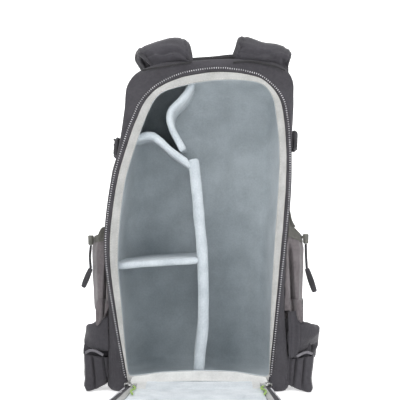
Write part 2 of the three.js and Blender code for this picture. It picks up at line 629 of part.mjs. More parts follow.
// Ladder locks at the ends of the shoulder straps and the webbing down to the lower rear corners
const WEBBING_ROUTES = {
  left: table(['x', 'y', 'z'], [[0.633, 1.037, 0.349], [0.700, 1.045, 0.304], [0.867, 1.033, 0.251],
    [1.083, 0.948, 0.206], [1.172, 0.755, 0.179], [1.174, 0.530, 0.161],
    [1.125, 0.330, 0.150], [0.933, 0.185, 0.143]]),
  right: table(['x', 'y', 'z'], [[0.633, 1.037, 0.347], [0.717, 1.045, 0.304], [0.900, 1.021, 0.260],
    [1.110, 0.924, 0.237], [1.210, 0.742, 0.230], [1.215, 0.530, 0.224],
    [1.150, 0.330, 0.197], [0.900, 0.173, 0.174]]),
};
const LADDER = { width: 34, height: 26, thickness: 5, bar: 4 };

function rectangle(x, y, width, height) {
  const [a, b] = [width / 2, height / 2];
  const corners = [[x - a, y - b], [x + a, y - b], [x + a, y + b], [x - a, y + b]];
  return corners.map(([u, v]) => new THREE.Vector2(u, v));
}

function makeLadderLock(name) {
  const { width, height, thickness, bar } = LADDER;
  const shape = new THREE.Shape(rectangle(0, 0, width, height));
  const slot = (height - 3 * bar) / 2;
  const hole = (y) => new THREE.Path(rectangle(0, y, width - 2 * bar, slot));
  shape.holes.push(hole((slot + bar) / 2), hole(-(slot + bar) / 2));
  const frame = new THREE.ExtrudeGeometry(shape, { depth: thickness, bevelEnabled: false });
  frame.rotateX(Math.PI / 2);
  const end = inBody(STRAP_ROUTES[name].route.at(-1));
  frame.translate(end.x, end.y + thickness / 2, end.z - height / 2 - 3 * GAP);
  add(`ladder_lock_${name}`, frame, PLASTIC);
}

function makeWebbing(name, side) {
  const path = smooth(WEBBING_ROUTES[name].map((row) => onSideways(row, side)), 2);
  const turning = (share) => point(side * Math.max(0, 1 - 2.2 * share), 0, 0.15 + 2 * share);
  const webbing = sweep(path, turning, () => slab(WEBBING_THICKNESS, WEBBING_WIDTH));
  add(`strap_webbing_${name}`, without(webbing, body), NYLON);
}

// Zip sliders at the lower corners, their pulls and the short cords tied to them, lying on the panel
// x in shares of HALF_WIDTH, reach from the rear face in shares of BODY_DEPTH
const SLIDERS = {
  left: {
    x: -0.792,
    cord: table(['x', 'reach'], [[-0.717, 0.215], [-0.692, 0.300], [-0.725, 0.409], [-0.700, 0.530]]),
  },
  right: {
    x: 0.750,
    cord: table(['x', 'reach'], [[0.683, 0.215], [0.650, 0.300], [0.692, 0.409], [0.667, 0.530]]),
  },
};
const PULL = { width: 7, length: 18, thickness: 1.4, eye: 4 };

function makeSlider(name, row) {
  const x = row.x * HALF_WIDTH;
  const start = Y_RIM - 2 * GAP - SLIDER_MARGIN;
  const floor = PANEL_THICKNESS + GAP;
  const [a, b] = [SLIDER_WIDTH / 2, SLIDER_LENGTH];
  const outline = [[-a * 0.5, 0], [a * 0.5, 0], [a, b * 0.35], [a, b], [a * 0.3, b * 0.8], [-a * 0.3, b * 0.8],
    [-a, b], [-a, b * 0.35]];
  const plan = new THREE.Shape(outline.map(([u, v]) => new THREE.Vector2(x + u, start - v)));
  const slider = new THREE.ExtrudeGeometry(plan, { depth: SLIDER_THICKNESS, bevelEnabled: false });
  slider.translate(0, 0, floor);
  add(`zip_slider_${name}`, slider, METAL);

  const lie = floor + BINDING_HEIGHT + GAP + 0.1 + PULL_CORD_DIAMETER / 2;
  const cord = row.cord.map((end) => point(end.x * HALF_WIDTH, Y_RIM - end.reach * BODY_DEPTH, lie));
  const tie = cord[0];
  const middle = tie.y + GAP + 0.3 + PULL.length / 2;
  const plate = new THREE.Shape(rectangle(tie.x, middle, PULL.width, PULL.length));
  plate.holes.push(new THREE.Path(rectangle(tie.x, middle - PULL.length / 2 + PULL.eye, PULL.eye, PULL.eye)));
  const pull = new THREE.ExtrudeGeometry(plate, { depth: PULL.thickness, bevelEnabled: false });
  pull.translate(0, 0, floor + BINDING_HEIGHT + GAP);
  add(`zip_pull_${name}`, pull, METAL);
  add(`pull_cord_${name}`, tube(cord, PULL_CORD_DIAMETER, 14), GREEN);
}

makeShell();
makeLiner();
makeRim();
makeDividers();
makeFlap();
makeStrap('left', STRAP_ROUTES.left);
makeStrap('right', STRAP_ROUTES.right);
makeHandle();
makeWing('left', LEFT, 1);
makeWing('right', RIGHT, 1.055);
makeSleeve('left', LEFT);
makeSleeve('right', RIGHT);
makePocket('left', { side: LEFT, reach: 1.205, slope: 20 });
makePocket('right', { side: RIGHT, reach: 1.16, slope: 42 });
makeHanging('left', LEFT);
makeHanging('right', RIGHT);
makeCompression('left', COMPRESSION.left);
makeCompression('right', COMPRESSION.right);
makeLadderLock('left');
makeLadderLock('right');
makeWebbing('left', LEFT);
makeWebbing('right', RIGHT);
makeSlider('left', SLIDERS.left);
makeSlider('right', SLIDERS.right);

export default group;
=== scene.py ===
# %% [markdown]
# # A camera backpack, standing open
#
# A camera backpack is a padded tub of dark pack cloth, lined in a pale brushed cloth and closed by one
# long zip round its rear face. Here the rear panel is unzipped and folded down, so the camera looks
# straight into the tub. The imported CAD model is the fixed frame: it says where each piece is, and this
# script gives every piece the thickness, folds, seams and cloth that the real one has.

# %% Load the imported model
import math

import bmesh
import bpy
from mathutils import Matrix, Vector, noise
from mathutils.bvhtree import BVHTree


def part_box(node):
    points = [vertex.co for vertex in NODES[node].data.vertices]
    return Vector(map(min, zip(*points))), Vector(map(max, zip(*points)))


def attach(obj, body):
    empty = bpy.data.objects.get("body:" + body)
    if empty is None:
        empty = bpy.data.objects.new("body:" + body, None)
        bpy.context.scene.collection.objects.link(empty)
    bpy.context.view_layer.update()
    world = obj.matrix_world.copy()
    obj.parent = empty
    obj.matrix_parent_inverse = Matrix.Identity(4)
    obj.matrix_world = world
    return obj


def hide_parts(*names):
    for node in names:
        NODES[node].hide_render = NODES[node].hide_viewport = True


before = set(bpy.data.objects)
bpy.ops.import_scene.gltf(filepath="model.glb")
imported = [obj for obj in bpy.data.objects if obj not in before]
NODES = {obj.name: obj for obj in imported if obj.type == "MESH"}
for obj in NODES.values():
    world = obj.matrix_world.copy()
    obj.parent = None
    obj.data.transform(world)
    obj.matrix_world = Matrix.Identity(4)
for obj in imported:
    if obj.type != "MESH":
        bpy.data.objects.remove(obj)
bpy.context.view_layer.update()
MM = 0.001
print("packed pieces:", len(NODES))

# %% [markdown]
# ## The camera
#
# The photograph looks level at the middle of the bag from its open side, from far enough away that the
# sides hardly spread. A long lens does that. Its focal length follows from how much of the rear face
# the picture spans at the distance where the camera stands.

# %% Camera
REAR_Y = -82.5 * MM
VIEW_SPAN = 532 * MM
VIEW_DISTANCE = 1300 * MM
VIEW_HEIGHT = 255.4 * MM

camera = bpy.data.objects.new("camera", bpy.data.cameras.new("camera"))
camera.data.sensor_width = 36.0
camera.data.lens = camera.data.sensor_width * VIEW_DISTANCE / VIEW_SPAN
camera.location = (0.0, REAR_Y - VIEW_DISTANCE, VIEW_HEIGHT)
camera.rotation_euler = (math.radians(90), 0.0, 0.0)
bpy.context.collection.objects.link(camera)
bpy.context.scene.camera = camera
bpy.context.scene.view_settings.view_transform = "Standard"
print("lens:", round(camera.data.lens, 1), "mm")

# %% [markdown]
# ## Small helpers
#
# Colours are written as people pick them, in sRGB hex, while the shaders calculate in linear light, so
# one function converts them. A second function adds a shader or geometry node with its settings and
# links, which keeps every tree below short enough to read.

# %% Helpers for colours and nodes
def colour(code):
    """An sRGB hex colour as the linear values that a shader reads."""
    values = [int(code[i:i + 2], 16) / 255 for i in (1, 3, 5)]
    return tuple(v / 12.92 if v <= 0.04045 else ((v + 0.055) / 1.055) ** 2.4 for v in values) + (1.0,)


def add_node(tree, kind, inputs=None, **settings):
    """Adds a node. A value in inputs is a setting of the socket, or another socket to link to it."""
    node = tree.nodes.new(kind)
    for name, value in settings.items():
        setattr(node, name, value)
    for key, value in (inputs or {}).items():
        if isinstance(value, bpy.types.NodeSocket):
            tree.links.new(value, node.inputs[key])
        else:
            node.inputs[key].default_value = value
    return node


print("binding cream in linear light:", [round(v, 3) for v in colour("#cfccc6")])

# %% [markdown]
# ## Floor and light
#
# Product pictures are lit by big soft lamps in front of a white sweep: a sheet that is a floor in front
# and a wall behind, joined by a wide curve so that no corner shows. The sheet glows a little, which
# keeps it white where the lamps fall off, and the bag keeps soft shadows between its pieces.

# %% White sweep and soft lamps
SWEEP_REACH = 4.0
SWEEP_BEND_Y = 1.2
SWEEP_RADIUS = 0.6
SWEEP_BELOW = 0.3 * MM
PAPER_GLOW = 0.55


def make_sweep():
    profile = [(-SWEEP_REACH, 0.0), (SWEEP_BEND_Y, 0.0)]
    profile += [(SWEEP_BEND_Y + SWEEP_RADIUS * math.sin(a), SWEEP_RADIUS * (1 - math.cos(a)))
                for a in (math.radians(15 * k) for k in range(1, 7))]
    profile.append((SWEEP_BEND_Y + SWEEP_RADIUS, SWEEP_REACH))
    points = [(x, y, z - SWEEP_BELOW) for x in (-SWEEP_REACH, SWEEP_REACH) for y, z in profile]
    count = len(profile)
    faces = [(k, k + count, k + count + 1, k + 1) for k in range(count - 1)]
    mesh = bpy.data.meshes.new("white_sweep")
    mesh.from_pydata(points, [], faces)
    mesh.polygons.foreach_set("use_smooth", [True] * len(mesh.polygons))
    sweep_object = bpy.data.objects.new("white_sweep", mesh)
    bpy.context.collection.objects.link(sweep_object)
    paper = bpy.data.materials.new("white paper, matt")
    paper.use_nodes = True
    shader = paper.node_tree.nodes["Principled BSDF"]
    shader.inputs["Base Color"].default_value = colour("#f4f4f4")
    shader.inputs["Roughness"].default_value = 0.9
    shader.inputs["Emission Color"].default_value = colour("#ffffff")
    shader.inputs["Emission Strength"].default_value = PAPER_GLOW
    mesh.materials.append(paper)


def soft_lamp(name, place, target, size, power):
    lamp = bpy.data.lights.new(name, "AREA")
    lamp.size = size
    lamp.energy = power
    holder = bpy.data.objects.new(name, lamp)
    holder.location = place
    holder.rotation_euler = (Vector(target) - Vector(place)).to_track_quat("-Z", "Y").to_euler()
    bpy.context.collection.objects.link(holder)


make_sweep()
world = bpy.data.worlds.new("pale room")
bpy.context.scene.world = world
world.use_nodes = True
world.node_tree.nodes["Background"].inputs["Color"].default_value = colour("#f6f8fb")
world.node_tree.nodes["Background"].inputs["Strength"].default_value = 0.42
MIDDLE = (0.0, 0.0, 0.22)
# Place in metres, size in metres and power in watts
LAMPS = {
    "lamp_front_left": ((-1.1, -1.9, 1.5), 1.3, 20),
    "lamp_front_right": ((1.4, -1.6, 1.0), 1.2, 15),
    "lamp_top": ((0.0, -0.3, 2.2), 1.5, 20),
}
for name, (place, size, power) in LAMPS.items():
    soft_lamp(name, place, MIDDLE, size, power)

# %% [markdown]
# ## Cloth finishes
#
# Every cloth here is woven or knitted, so its finish has the same three layers: a slow change of tone
# where the cloth has faded or been handled, a fine speckle from the single threads, and a bump of the
# weave itself. The weave is a sum of sine waves along the three axes, which looks woven on a wall, a
# lid or a side alike and needs no unwrapping. Real threads of 0.5 mm are finer than the picture shows,
# so the spacing is drawn two to three times as coarse.

# %% A woven finish
def new_finish(name):
    finish = bpy.data.materials.new(name)
    finish.use_nodes = True
    tree = finish.node_tree
    tree.nodes.clear()
    shader = add_node(tree, "ShaderNodeBsdfPrincipled")
    add_node(tree, "ShaderNodeOutputMaterial", {"Surface": shader.outputs[0]})
    return finish, tree, shader


def tone_between(tree, share, low, high, dark, light):
    """A colour that goes from dark to light as share goes from low to high."""
    scaled = add_node(tree, "ShaderNodeMapRange", {"Value": share, "From Min": low, "From Max": high})
    mix = add_node(tree, "ShaderNodeMix", {0: scaled.outputs[0]}, data_type="RGBA")
    mix.inputs[6].default_value = colour(dark)
    mix.inputs[7].default_value = colour(light)
    return mix.outputs[2]


def woven(name, dark, light, thread, bump, roughness=0.9, sheen=0.1, patch=45 * MM, speckle=0.35):
    """A cloth finish. thread is the spacing of the drawn weave and patch the size of its soft fading."""
    finish, tree, shader = new_finish(name)
    place = add_node(tree, "ShaderNodeTexCoord").outputs["Object"]
    turns = add_node(tree, "ShaderNodeVectorMath", {0: place, "Scale": 2 * math.pi / thread},
                     operation="SCALE")
    waves = add_node(tree, "ShaderNodeVectorMath", {0: turns.outputs[0]}, operation="SINE")
    weave = add_node(tree, "ShaderNodeVectorMath", {0: waves.outputs[0], 1: (1, 1, 1)},
                     operation="DOT_PRODUCT").outputs["Value"]
    threads = add_node(tree, "ShaderNodeTexNoise", {"Vector": place, "Scale": 0.5 / thread,
                                                    "Detail": 3.0})
    fading = add_node(tree, "ShaderNodeTexNoise", {"Vector": place, "Scale": 1 / patch, "Detail": 4.0})
    share = add_node(tree, "ShaderNodeMix", {0: speckle, 2: fading.outputs["Fac"],
                                             3: threads.outputs["Fac"]})
    tone = tone_between(tree, share.outputs[0], 0.36, 0.64, dark, light)
    tree.links.new(tone, shader.inputs["Base Color"])
    height = add_node(tree, "ShaderNodeMath", {0: weave, 1: 0.25, 2: threads.outputs["Fac"]},
                      operation="MULTIPLY_ADD")
    relief = add_node(tree, "ShaderNodeBump", {"Height": height.outputs[0], "Strength": 0.6,
                                               "Distance": bump})
    tree.links.new(relief.outputs[0], shader.inputs["Normal"])
    shader.inputs["Roughness"].default_value = roughness
    shader.inputs["Sheen Weight"].default_value = sheen
    shader.inputs["Sheen Roughness"].default_value = 0.5
    return finish


# Textured nylon pack cloth, calendered: matt, almost black-violet, a little greyer where it is handled
PACK_CLOTH = woven("nylon pack cloth", "#312f34", "#413f44", 1.6 * MM, 0.35 * MM, 0.82, 0.12)
# The same cloth on the shoulder straps, darkened: painted shade on the straps
STRAP_SHADE_CLOTH = woven("strap nylon, painted shade", "#2c2a2f", "#3c3a40", 1.4 * MM, 0.3 * MM, 0.8, 0.15)
# Brushed loop nylon: the nap scatters light and takes hook fasteners, so it is soft and pale
LOOP_LINING = woven("brushed loop nylon", "#b7bfc3", "#ced5d9", 1.2 * MM, 0.4 * MM, 0.95, 0.35, 30 * MM)
# The same nap on foam that is bound over its edge, painted lighter: painted light where it lies face up
# to the lamps on the panel and the hinge
PAINTED_LIGHT_LINING = woven("brushed loop nylon, painted light", "#cbd2d7", "#e6ebef", 1.2 * MM, 0.35 * MM, 0.95, 0.3,
                  25 * MM)
# The dividers' cloth, a little greyer than the panel's lining, which is painted lighter
DIVIDER_EDGE = woven("brushed loop nylon, dividers", "#b4bdc3", "#d0d7dc", 1.2 * MM, 0.35 * MM, 0.95, 0.3,
                     25 * MM)
# Grosgrain ribbon folded over the raw edges: fine ribs, cream grey
GROSGRAIN = woven("polyester grosgrain", "#a3a3a1", "#b9b9b7", 1.1 * MM, 0.25 * MM, 0.85, 0.1, 20 * MM)
# The same ribbon where it lies flat on the sill, painted lighter: painted light where it faces the lamps
PAINTED_LIGHT_RIBBON = woven("polyester grosgrain, painted light", "#cfcfcd", "#e3e3e1", 1.1 * MM, 0.25 * MM, 0.85, 0.1,
                    20 * MM)
# Herringbone zip tape, polyester: flatter than the pack cloth
ZIP_TAPE = woven("polyester zip tape", "#353337", "#464448", 1.3 * MM, 0.25 * MM, 0.85, 0.1, 20 * MM)
# Warp-knitted stretch nylon: mauve-grey and soft, with a fine vertical rib
STRETCH_KNIT = woven("stretch nylon knit", "#575153", "#706a6c", 1.8 * MM, 0.4 * MM, 0.92, 0.25, 35 * MM)
# Elastic binding in olive grey
OLIVE_BINDING = woven("olive elastic binding", "#4b4a46", "#605f59", 1.3 * MM, 0.3 * MM, 0.85, 0.1,
                      15 * MM)
# Nylon webbing, woven tight and pressed flat
WEBBING = woven("nylon webbing", "#29282b", "#3b393e", 1.5 * MM, 0.3 * MM, 0.75, 0.1, 25 * MM)
# The handle is the same webbing, darker. The same finish draws the thin strips along the straps' feet,
# which are painted shade in the crease there
DARK_HANDLE_AND_SHADE = woven("black webbing and painted shade", "#161517", "#232225", 1.5 * MM, 0.3 * MM, 0.75, 0.1, 25 * MM)
# Folded tape round the mouths of the sleeves, a lighter grey than the pack cloth
HEM_TAPE = woven("grey hem tape", "#5e5c61", "#79777c", 1.2 * MM, 0.25 * MM, 0.85, 0.1, 15 * MM)
# Polyester sewing thread: one a shade lighter than the pack cloth, one for the pale ribbon
DARK_THREAD = woven("dark sewing thread", "#4a484c", "#626065", 0.8 * MM, 0.1 * MM, 0.7, 0.1, 10 * MM)
PALE_THREAD = woven("pale sewing thread", "#b1aea6", "#d2cfc8", 0.8 * MM, 0.1 * MM, 0.7, 0.1, 10 * MM)
# Braided accessory cords, dyed black and lime green
BLACK_CORD = woven("braided black cord", "#1d1c1f", "#38363b", 1.0 * MM, 0.4 * MM, 0.7, 0.15, 8 * MM)
GREEN_CORD = woven("braided green cord", "#86ab48", "#b4d374", 1.0 * MM, 0.4 * MM, 0.7, 0.15, 8 * MM)
print("cloths:", len(bpy.data.materials))

# %% [markdown]
# ## Hard finishes
#
# Buckles are acetal, injection moulded with a fine spark-eroded texture, so they are satin with soft
# highlights. The zip's coil is drawn nylon thread, smoother and paler where it has been rubbed. The
# sliders are die-cast zinc with a nickel plating, brushed by handling.

# %% Plastic, coil and metal
def moulded(name, dark, light, roughness, metallic=0.0, grain=0.8 * MM, bump=0.05 * MM):
    finish, tree, shader = new_finish(name)
    place = add_node(tree, "ShaderNodeTexCoord").outputs["Object"]
    texture = add_node(tree, "ShaderNodeTexNoise", {"Vector": place, "Scale": 1 / grain, "Detail": 4.0})
    wear = add_node(tree, "ShaderNodeTexNoise", {"Vector": place, "Scale": 80.0, "Detail": 3.0})
    tree.links.new(tone_between(tree, wear.outputs["Fac"], 0.38, 0.62, dark, light),
                   shader.inputs["Base Color"])
    gloss = add_node(tree, "ShaderNodeMapRange", {"Value": wear.outputs["Fac"], "From Min": 0.3,
                                                  "From Max": 0.7, "To Min": roughness + 0.08,
                                                  "To Max": roughness - 0.08})
    tree.links.new(gloss.outputs[0], shader.inputs["Roughness"])
    relief = add_node(tree, "ShaderNodeBump", {"Height": texture.outputs["Fac"], "Strength": 0.5,
                                               "Distance": bump})
    tree.links.new(relief.outputs[0], shader.inputs["Normal"])
    shader.inputs["Metallic"].default_value = metallic
    return finish


ACETAL = moulded("moulded acetal", "#252428", "#38363b", 0.42)
GREY_ACETAL = moulded("moulded grey acetal", "#4c4c49", "#66665f", 0.5)
COIL = moulded("drawn nylon coil", "#a9a8ac", "#d6d5d9", 0.4, grain=0.5 * MM)
NICKEL = moulded("nickel-plated zinc", "#a9a9a8", "#cfcfcc", 0.28, 1.0, grain=0.4 * MM, bump=0.02 * MM)
print("finishes:", len(bpy.data.materials))

# %% [markdown]
# ## Helpers for soft pieces
#
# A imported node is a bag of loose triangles, so a copy of it is merged first. Then it goes one of two
# ways. A clean grid, such as the body, is subdivided with its sharp edges held by a crease. A foam pad
# that was cut to fit its neighbour is remeshed in small voxels and relaxed, which rounds it like foam
# under cloth. Both end as a plain mesh, whose points are then pushed along their normals to make
# wrinkles, seams and grooves.

# %% Copy, refine, soften and press
def cad_copy(node):
    """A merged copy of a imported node, with its flat pairs of triangles joined to quads."""
    form = bmesh.new()
    form.from_mesh(NODES[node].data)
    bmesh.ops.remove_doubles(form, verts=form.verts, dist=0.01 * MM)
    bmesh.ops.join_triangles(form, faces=form.faces, angle_face_threshold=math.radians(30),
                             angle_shape_threshold=math.radians(75))
    return form


def new_piece(name, form):
    mesh = bpy.data.meshes.new(name)
    if isinstance(form, bmesh.types.BMesh):
        form.to_mesh(mesh)
        form.free()
    else:
        mesh.from_pydata(*form)
    piece = bpy.data.objects.new(name, mesh)
    bpy.context.collection.objects.link(piece)
    return piece


def settle(piece):
    """Makes what the modifiers give the piece's own plain mesh."""
    graph = bpy.context.evaluated_depsgraph_get()
    mesh = bpy.data.meshes.new_from_object(piece.evaluated_get(graph))
    piece.modifiers.clear()
    piece.data = mesh
    return piece


def refine(name, node, levels, crease=0.7, angle=35, hold=0.0):
    """Subdivides a node. hold is the share of what the rounding takes off its corners to give back."""
    form = cad_copy(node)
    layer = form.edges.layers.float.new("crease_edge")
    for edge in form.edges:
        if len(edge.link_faces) == 2 and edge.calc_face_angle() > math.radians(angle):
            edge[layer] = crease
    piece = new_piece(name, form)
    modifier = piece.modifiers.new("finer", "SUBSURF")
    modifier.levels = modifier.render_levels = levels
    if hold:
        round_form = piece.evaluated_get(bpy.context.evaluated_depsgraph_get()).data
        lost = [hold * (v.co - round_form.vertices[v.index].co) for v in piece.data.vertices]
        for vertex, move in zip(piece.data.vertices, lost):
            vertex.co += move
        piece.data.update()
    return settle(piece)


def soften(name, node, voxel, rounds=4):
    piece = new_piece(name, cad_copy(node))
    grain = piece.modifiers.new("voxels", "REMESH")
    grain.mode = "VOXEL"
    grain.voxel_size = voxel
    relax = piece.modifiers.new("relax", "SMOOTH")
    relax.factor = 0.5
    relax.iterations = rounds
    return settle(piece)


def press(piece, rule):
    """Moves every point along its normal by what the rule says for its place and normal."""
    mesh = piece.data
    normals = [normal.vector.copy() for normal in mesh.vertex_normals]
    for vertex, normal in zip(mesh.vertices, normals):
        vertex.co += normal * rule(vertex.co, normal)
    return piece


def reshape(piece, rule):
    """Moves every point by the vector that the rule gives for its place."""
    for vertex in piece.data.vertices:
        vertex.co += Vector(rule(vertex.co))
    return piece


def dress(piece, finish, slot, *nodes):
    """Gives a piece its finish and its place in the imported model."""
    mesh = piece.data
    mesh.materials.clear()
    mesh.materials.append(finish)
    mesh.polygons.foreach_set("use_smooth", [True] * len(mesh.polygons))
    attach(piece, "root")
    if nodes:
        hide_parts(*nodes)
    triangles = sum(len(polygon.vertices) - 2 for polygon in mesh.polygons)
    print(f"{piece.name}: {triangles} triangles")
    return piece


def ease(value, low, high):
    """0 below low, 1 above high and an even slope between, rounded at both ends."""
    share = min(1.0, max(0.0, (value - low) / (high - low)))
    return share * share * (3 - 2 * share)


def crumple(place, size, stretch=(1, 1, 1)):
    """Soft creases: from 0 along a crease to about 1 between creases."""
    scaled = Vector([p * s / size for p, s in zip(place, stretch)])
    return min(1.0, abs(noise.noise(scaled)) * 2.5)


# %% [markdown]
# ## Lines and sweeps
#
# Straps, ribbons, piping and cords are all one profile carried along a line. A smooth line is drawn
# through a few points first, because a real strap bends evenly.

# %% Smooth lines and swept profiles
def smooth_line(points, steps):
    """A smooth line through the points, with the same number of steps between each two."""
    line = []
    ends = [2 * points[0] - points[1], *points, 2 * points[-1] - points[-2]]
    for k in range(1, len(ends) - 2):
        a, b, c, d = ends[k - 1:k + 3]
        for step in range(steps):
            t = step / steps
            line.append(0.5 * (2 * b + (c - a) * t + (2 * a - 5 * b + 4 * c - d) * t * t
                               + (3 * b - a - 3 * c + d) * t ** 3))
    return line + [points[-1].copy()]


def tangents(line):
    last = len(line) - 1
    return [(line[min(k + 1, last)] - line[max(k - 1, 0)]).normalized() for k in range(last + 1)]


def sweep(name, line, wide, profile):
    """Carries a profile along a line. Its points are (across, along the width); wide is that way."""
    ways = wide if isinstance(wide, list) else [wide] * len(line)
    points, faces = [], []
    size = len(profile)
    for place, tangent, way in zip(line, tangents(line), ways):
        side = (way - tangent * way.dot(tangent)).normalized()
        across = side.cross(tangent)
        points += [place + across * a + side * b for a, b in profile]
    for k in range(len(line) - 1):
        for j in range(size):
            n = (j + 1) % size
            faces.append((k * size + j, k * size + n, (k + 1) * size + n, (k + 1) * size + j))
    last = (len(line) - 1) * size
    faces += [tuple(reversed(range(size))), tuple(range(last, last + size))]
    piece = new_piece(name, (points, [], faces))
    form = bmesh.new()
    form.from_mesh(piece.data)
    bmesh.ops.recalc_face_normals(form, faces=form.faces)
    form.to_mesh(piece.data)
    form.free()
    return piece


def rounded(thickness, width, steps=4):
    """A flat profile with round ends."""
    radius = thickness / 2
    reach = width / 2 - radius
    half = [(radius * math.cos(a), reach + radius * math.sin(a))
            for a in (math.pi * k / steps for k in range(steps + 1))]
    return half + [(-a, -b) for a, b in half]


print("sides of a round profile:", len(rounded(2 * MM, 3 * MM)))

# %% [markdown]
# ## The body
#
# The body is pack cloth over foam. The cloth is a little larger than the foam, so it lies in shallow
# wrinkles. Two sewn seams run round the sides, and the cloth pulls in along them. These points move
# inwards, so the straps and pockets that lie on the body stay clear of it. Only the rear edge swells
# outwards a little, over the shoulders and at the two lower corners.

# %% Body
BODY_CENTRE = Vector((0.0, 0.0, 210 * MM))
SIDE_SEAMS = (-52 * MM, 58 * MM)
SHOULDER_SWELL = 3.0 * MM
CORNER_SWELL = 5.0 * MM
SEAM_WIDTH = 2.2 * MM
SEAM_PULL = 1.6 * MM
BROAD_WRINKLE = (70 * MM, 1.8 * MM)
FINE_WRINKLE = (24 * MM, 0.7 * MM)


def ridge(value, middle, width):
    """1 at the middle, and next to nothing at twice the width from it."""
    return math.exp(-((value - middle) / width) ** 2)


def body_relief(place, normal):
    outwards = normal.dot(place - BODY_CENTRE) > 0
    if not outwards or place.y < REAR_Y + 0.5 * MM:
        return 0.0
    clear = ease(place.y, REAR_Y + 3 * MM, REAR_Y + 20 * MM)
    broad = crumple(place, BROAD_WRINKLE[0], (1, 1, 0.6)) * BROAD_WRINKLE[1]
    fine = crumple(place, FINE_WRINKLE[0], (1.2, 1.2, 0.5)) * FINE_WRINKLE[1]
    seam = sum(ridge(place.y, line, SEAM_WIDTH) for line in SIDE_SEAMS)
    # The rear edge stands full over the shoulders and at the two lower corners
    rear = ease(place.y, REAR_Y, REAR_Y + 5 * MM) * (1 - ease(place.y, -55 * MM, -30 * MM))
    shoulder = SHOULDER_SWELL * rear * ease(normal.z, 0.02, 0.4)
    corner = CORNER_SWELL * rear * ease(abs(place.x), 88 * MM, 108 * MM) * ease(-normal.z, 0.1, 0.6)
    corner = min(corner, max(0.0, place.z - 0.3 * MM) / max(0.1, -normal.z))
    return shoulder + corner - clear * (broad + fine + SEAM_PULL * seam)


shell = refine("body_cloth", "bag_shell", 3, hold=0.85)
press(shell, body_relief)
dress(shell, PACK_CLOTH, "nylon", "bag_shell")
body_tree = BVHTree.FromObject(shell, bpy.context.evaluated_depsgraph_get())

# %% [markdown]
# ## The lining
#
# The lining is a thin foam tub covered in brushed loop cloth, glued in loosely. Light falls across its
# small dents, so it gets shallow, broad ones.

# %% Lining
DENT_SIZE, DENT_DEPTH = 60 * MM, 1.4 * MM


def lining_dents(place, normal):
    inwards = normal.dot(place - BODY_CENTRE) < 0
    if not inwards or place.y < REAR_Y + 12 * MM:
        return 0.0
    return -DENT_DEPTH * crumple(place, DENT_SIZE)


lining = refine("lining_tub", "liner", 2)
press(lining, lining_dents)
dress(lining, LOOP_LINING, "lining", "liner")

# %% [markdown]
# ## Paths round the opening
#
# The binding, the tape and the teeth all follow the edge of the opening. Rays cast from the middle of
# the opening find the inner and outer side of each packed ring, so the trims follow it exactly. The
# rays start at the bottom, where the rings of the zip are open.

# %% Rings found by rays
OPENING_HUB = Vector((0.0, 0.0, 0.22))
PANEL_HUB = Vector((0.0, -0.30, 0.0))


def ring_around(node, hub, flat, count=540):
    """The inner and outer side of a ring-shaped node. flat is "y" or "z", the way that it faces."""
    mesh = NODES[node].data
    tree = BVHTree.FromPolygons([v.co for v in mesh.vertices], [p.vertices for p in mesh.polygons])
    low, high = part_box(node)
    axis = "xyz".index(flat)
    start = hub.copy()
    start[axis] = low[axis] + 0.3 * (high[axis] - low[axis]) if flat == "z" else \
        high[axis] - 0.3 * (high[axis] - low[axis])
    sides = []
    first = -math.pi / 2 if flat == "y" else math.pi / 2
    for k in range(count):
        angle = first + 2 * math.pi * (k + 0.5) / count
        aim = Vector((math.cos(angle), 0.0, math.sin(angle))) if flat == "y" else \
            Vector((math.cos(angle), math.sin(angle), 0.0))
        near = tree.ray_cast(start, aim, 1.0)[0]
        far = tree.ray_cast(start + aim, -aim, 1.0)[0]
        if near is not None and far is not None:
            sides.append((near, far))
    return sides


zip_line = [(near + far) / 2 for near, far in ring_around("zip_chain", OPENING_HUB, "y")]
panel_zip_line = [(near + far) / 2 for near, far in ring_around("flap_zip_chain", PANEL_HUB, "z")]
print("points on the zip:", len(zip_line), "and on the panel's zip:", len(panel_zip_line))

# %% [markdown]
# ## One tree for all that repeats
#
# Zip teeth and stitches are the same small thing set again and again along a line. One Geometry Nodes
# tree does both: it spaces points along the line, sets a rounded block on each, and turns it with the
# line and with the surface below, whose direction each point of the line carries as an attribute.

